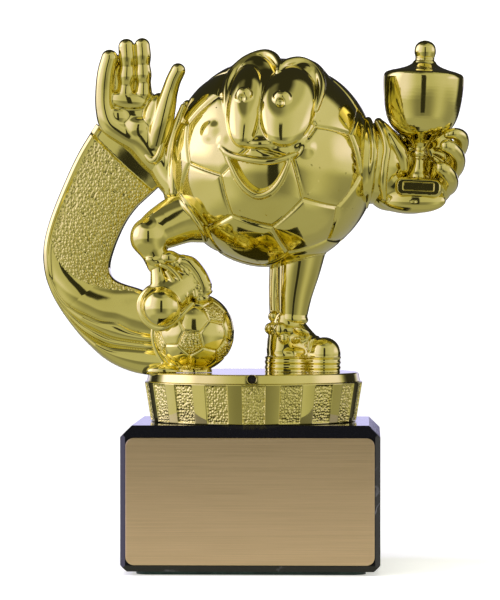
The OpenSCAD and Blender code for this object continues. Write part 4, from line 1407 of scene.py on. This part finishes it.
# Cup glove: a broad palm turned up under the cup's foot, a thumb behind the stem on the left, and
# three fingers that curl round from the back on the right.
def cup_glove_shape(p):
    palm = blend(egg_shape(p, (44.0, -1.0, 108.8), (12.2, 9.4, 8.2)),
                 egg_shape(p, (36.6, -1.0, 114.0), (5.6, 10.2, 11.6)), 2.5)
    wall = egg_shape(p, (47.5, 3.6, 114.8), (11.2, 4.6, 10.4))
    shape = blend(palm, wall, 1.5)
    # Room for the foot and stem of the cup
    shape = carve(shape, egg_shape(p, (46.6, -8.6, 116.0), (7.2, 8.4, 9.4)), 0.8)
    thumb = rope_shape(p, [(35.2, -6.0, 126.2), (37.3, -8.2, 123.6), (39.6, -9.0, 120.2), (41.6, -8.6, 116.8),
                           (42.2, -7.6, 113.4)], (1.2, 1.8, 2.0, 2.0, 1.7), 4)
    shape = blend(shape, thumb, 0.5)
    heel_ridge = rope_shape(p, [(35.0, -7.6, 126.0), (36.6, -10.0, 122.6), (37.4, -11.4, 118.4),
                                (36.8, -11.8, 114.2), (36.4, -11.4, 109.4), (36.8, -9.6, 105.0)],
                            (0.8, 1.0, 1.2, 1.3, 1.2, 0.8), 4)
    shape = blend(shape, heel_ridge, 0.5)
    first = rope_shape(p, [(54.6, -9.6, 122.6), (56.6, -9.2, 122.8), (58.3, -6.4, 121.6), (57.6, -1.0, 118.6),
                           (54.5, 3.0, 115.6)], (1.3, 1.7, 2.1, 2.3, 2.4), 4)
    second = rope_shape(p, [(54.0, -11.6, 119.3), (55.6, -10.6, 118.4), (57.2, -7.6, 116.2),
                            (56.6, -2.0, 113.4), (54.0, 2.5, 111.5)], (1.9, 2.1, 2.2, 2.4, 2.5), 4)
    third = rope_shape(p, [(52.6, -11.9, 113.2), (54.0, -11.2, 112.1), (55.2, -8.6, 110.2),
                           (54.6, -3.5, 108.4), (52.0, 1.5, 107.5)], (1.9, 2.1, 2.2, 2.6, 2.8), 4)
    shape = blend(shape, first, 0.35)
    shape = blend(shape, second, 0.3)
    shape = blend(shape, third, 0.3)
    heel_pad = egg_shape(p, (45.0, -7.0, 104.4), (9.0, 3.6, 4.2),
                         tilted((-0.05, -0.93, -0.35), (0, -0.35, 0.93)))
    shape = blend(shape, heel_pad, 0.9)
    return carve(shape, egg_shape(p, (44.9, -11.5, 103.9), (0.9, 0.7, 0.35)), 0.3)


cup_glove = cast("cup_glove_moulding", cup_glove_shape, (29.5, -15.5, 98.5), (62.5, 10.0, 129.5), 0.3,
                 -0.1, -0.2)
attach(cup_glove, "root")
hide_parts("cup_glove")


# Held cup: a small lidded cup with a round finial, a ringed stem and a rounded slab foot that has
# a sunk panel in front. It is one moulding and leans a little to the right in the hand.
cup_foot = np.array([46.2, -6.5, 106.0])
cup_lean = math.radians(2.9)
cup_profile = flowing([(2.4, 3.6), (3.3, 4.8), (2.5, 6.6), (1.95, 8.4), (1.75, 9.7)], 4).tolist()
cup_profile += [(2.1, 9.9), (2.2, 10.1), (2.1, 10.3), (1.9, 10.4)]
cup_profile += flowing([(2.15, 10.6), (2.42, 11.3), (2.15, 12.0)], 4).tolist()
cup_profile += [(1.8, 12.2), (2.0, 12.4), (2.0, 12.6), (1.9, 12.8), (2.1, 13.4), (2.7, 14.3), (3.5, 15.1)]
cup_profile += flowing([(4.6, 15.8), (6.7, 17.1), (8.6, 19.0), (9.9, 21.6), (10.7, 25.0), (11.2, 29.0),
                        (11.35, 32.0), (11.2, 33.0), (10.7, 33.75), (10.0, 34.1)], 4).tolist()
cup_profile += flowing([(9.0, 34.45), (7.0, 34.95), (5.0, 35.6), (3.6, 36.4), (3.05, 37.2)], 3).tolist()
cup_profile += [(2.75, 37.35), (2.65, 37.7), (2.75, 38.0), (2.6, 38.2)]
cup_profile += flowing([(2.75, 38.5), (3.05, 39.9), (2.75, 41.4), (1.9, 42.4), (0.8, 42.9), (0.0, 43.0)],
                       4).tolist()
cup_outline = np.array([(0.0, 3.6)] + cup_profile + [(-0.5, 43.0), (-0.5, 3.6), (0.0, 3.6)])


def held_cup_shape(p):
    q = p - cup_foot
    x = q[:, 0] * math.cos(cup_lean) - q[:, 2] * math.sin(cup_lean)
    z = q[:, 0] * math.sin(cup_lean) + q[:, 2] * math.cos(cup_lean)
    out = np.hypot(x, q[:, 1])
    body = inside_outline(out, z, cup_outline)
    slab = np.stack([np.abs(x) - 4.4, np.abs(q[:, 1] + 0.4) - 3.2, np.abs(z - 1.9) - 0.6], axis=1)
    foot = np.linalg.norm(np.maximum(slab, 0), axis=1) + np.minimum(slab.max(axis=1), 0) - 2.1
    flat = np.maximum(np.abs(q[:, 1] + 0.4) - 4.8, foot)
    panel = np.stack([np.abs(x) - 3.9, np.abs(z - 2.1) - 0.8], axis=1)
    panel = np.linalg.norm(np.maximum(panel, 0), axis=1) + np.minimum(panel.max(axis=1), 0) - 0.35
    flat = carve(flat, np.maximum(panel, q[:, 1] + 4.5), 0.2)
    return blend(body, flat, 0.35)


held_cup = cast("held_cup_moulding", held_cup_shape, (33.5, -19.8, 103.2), (61.5, 6.8, 151.0), 0.28,
                -0.1, -0.2)
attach(held_cup, "root")
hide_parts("held_cup")
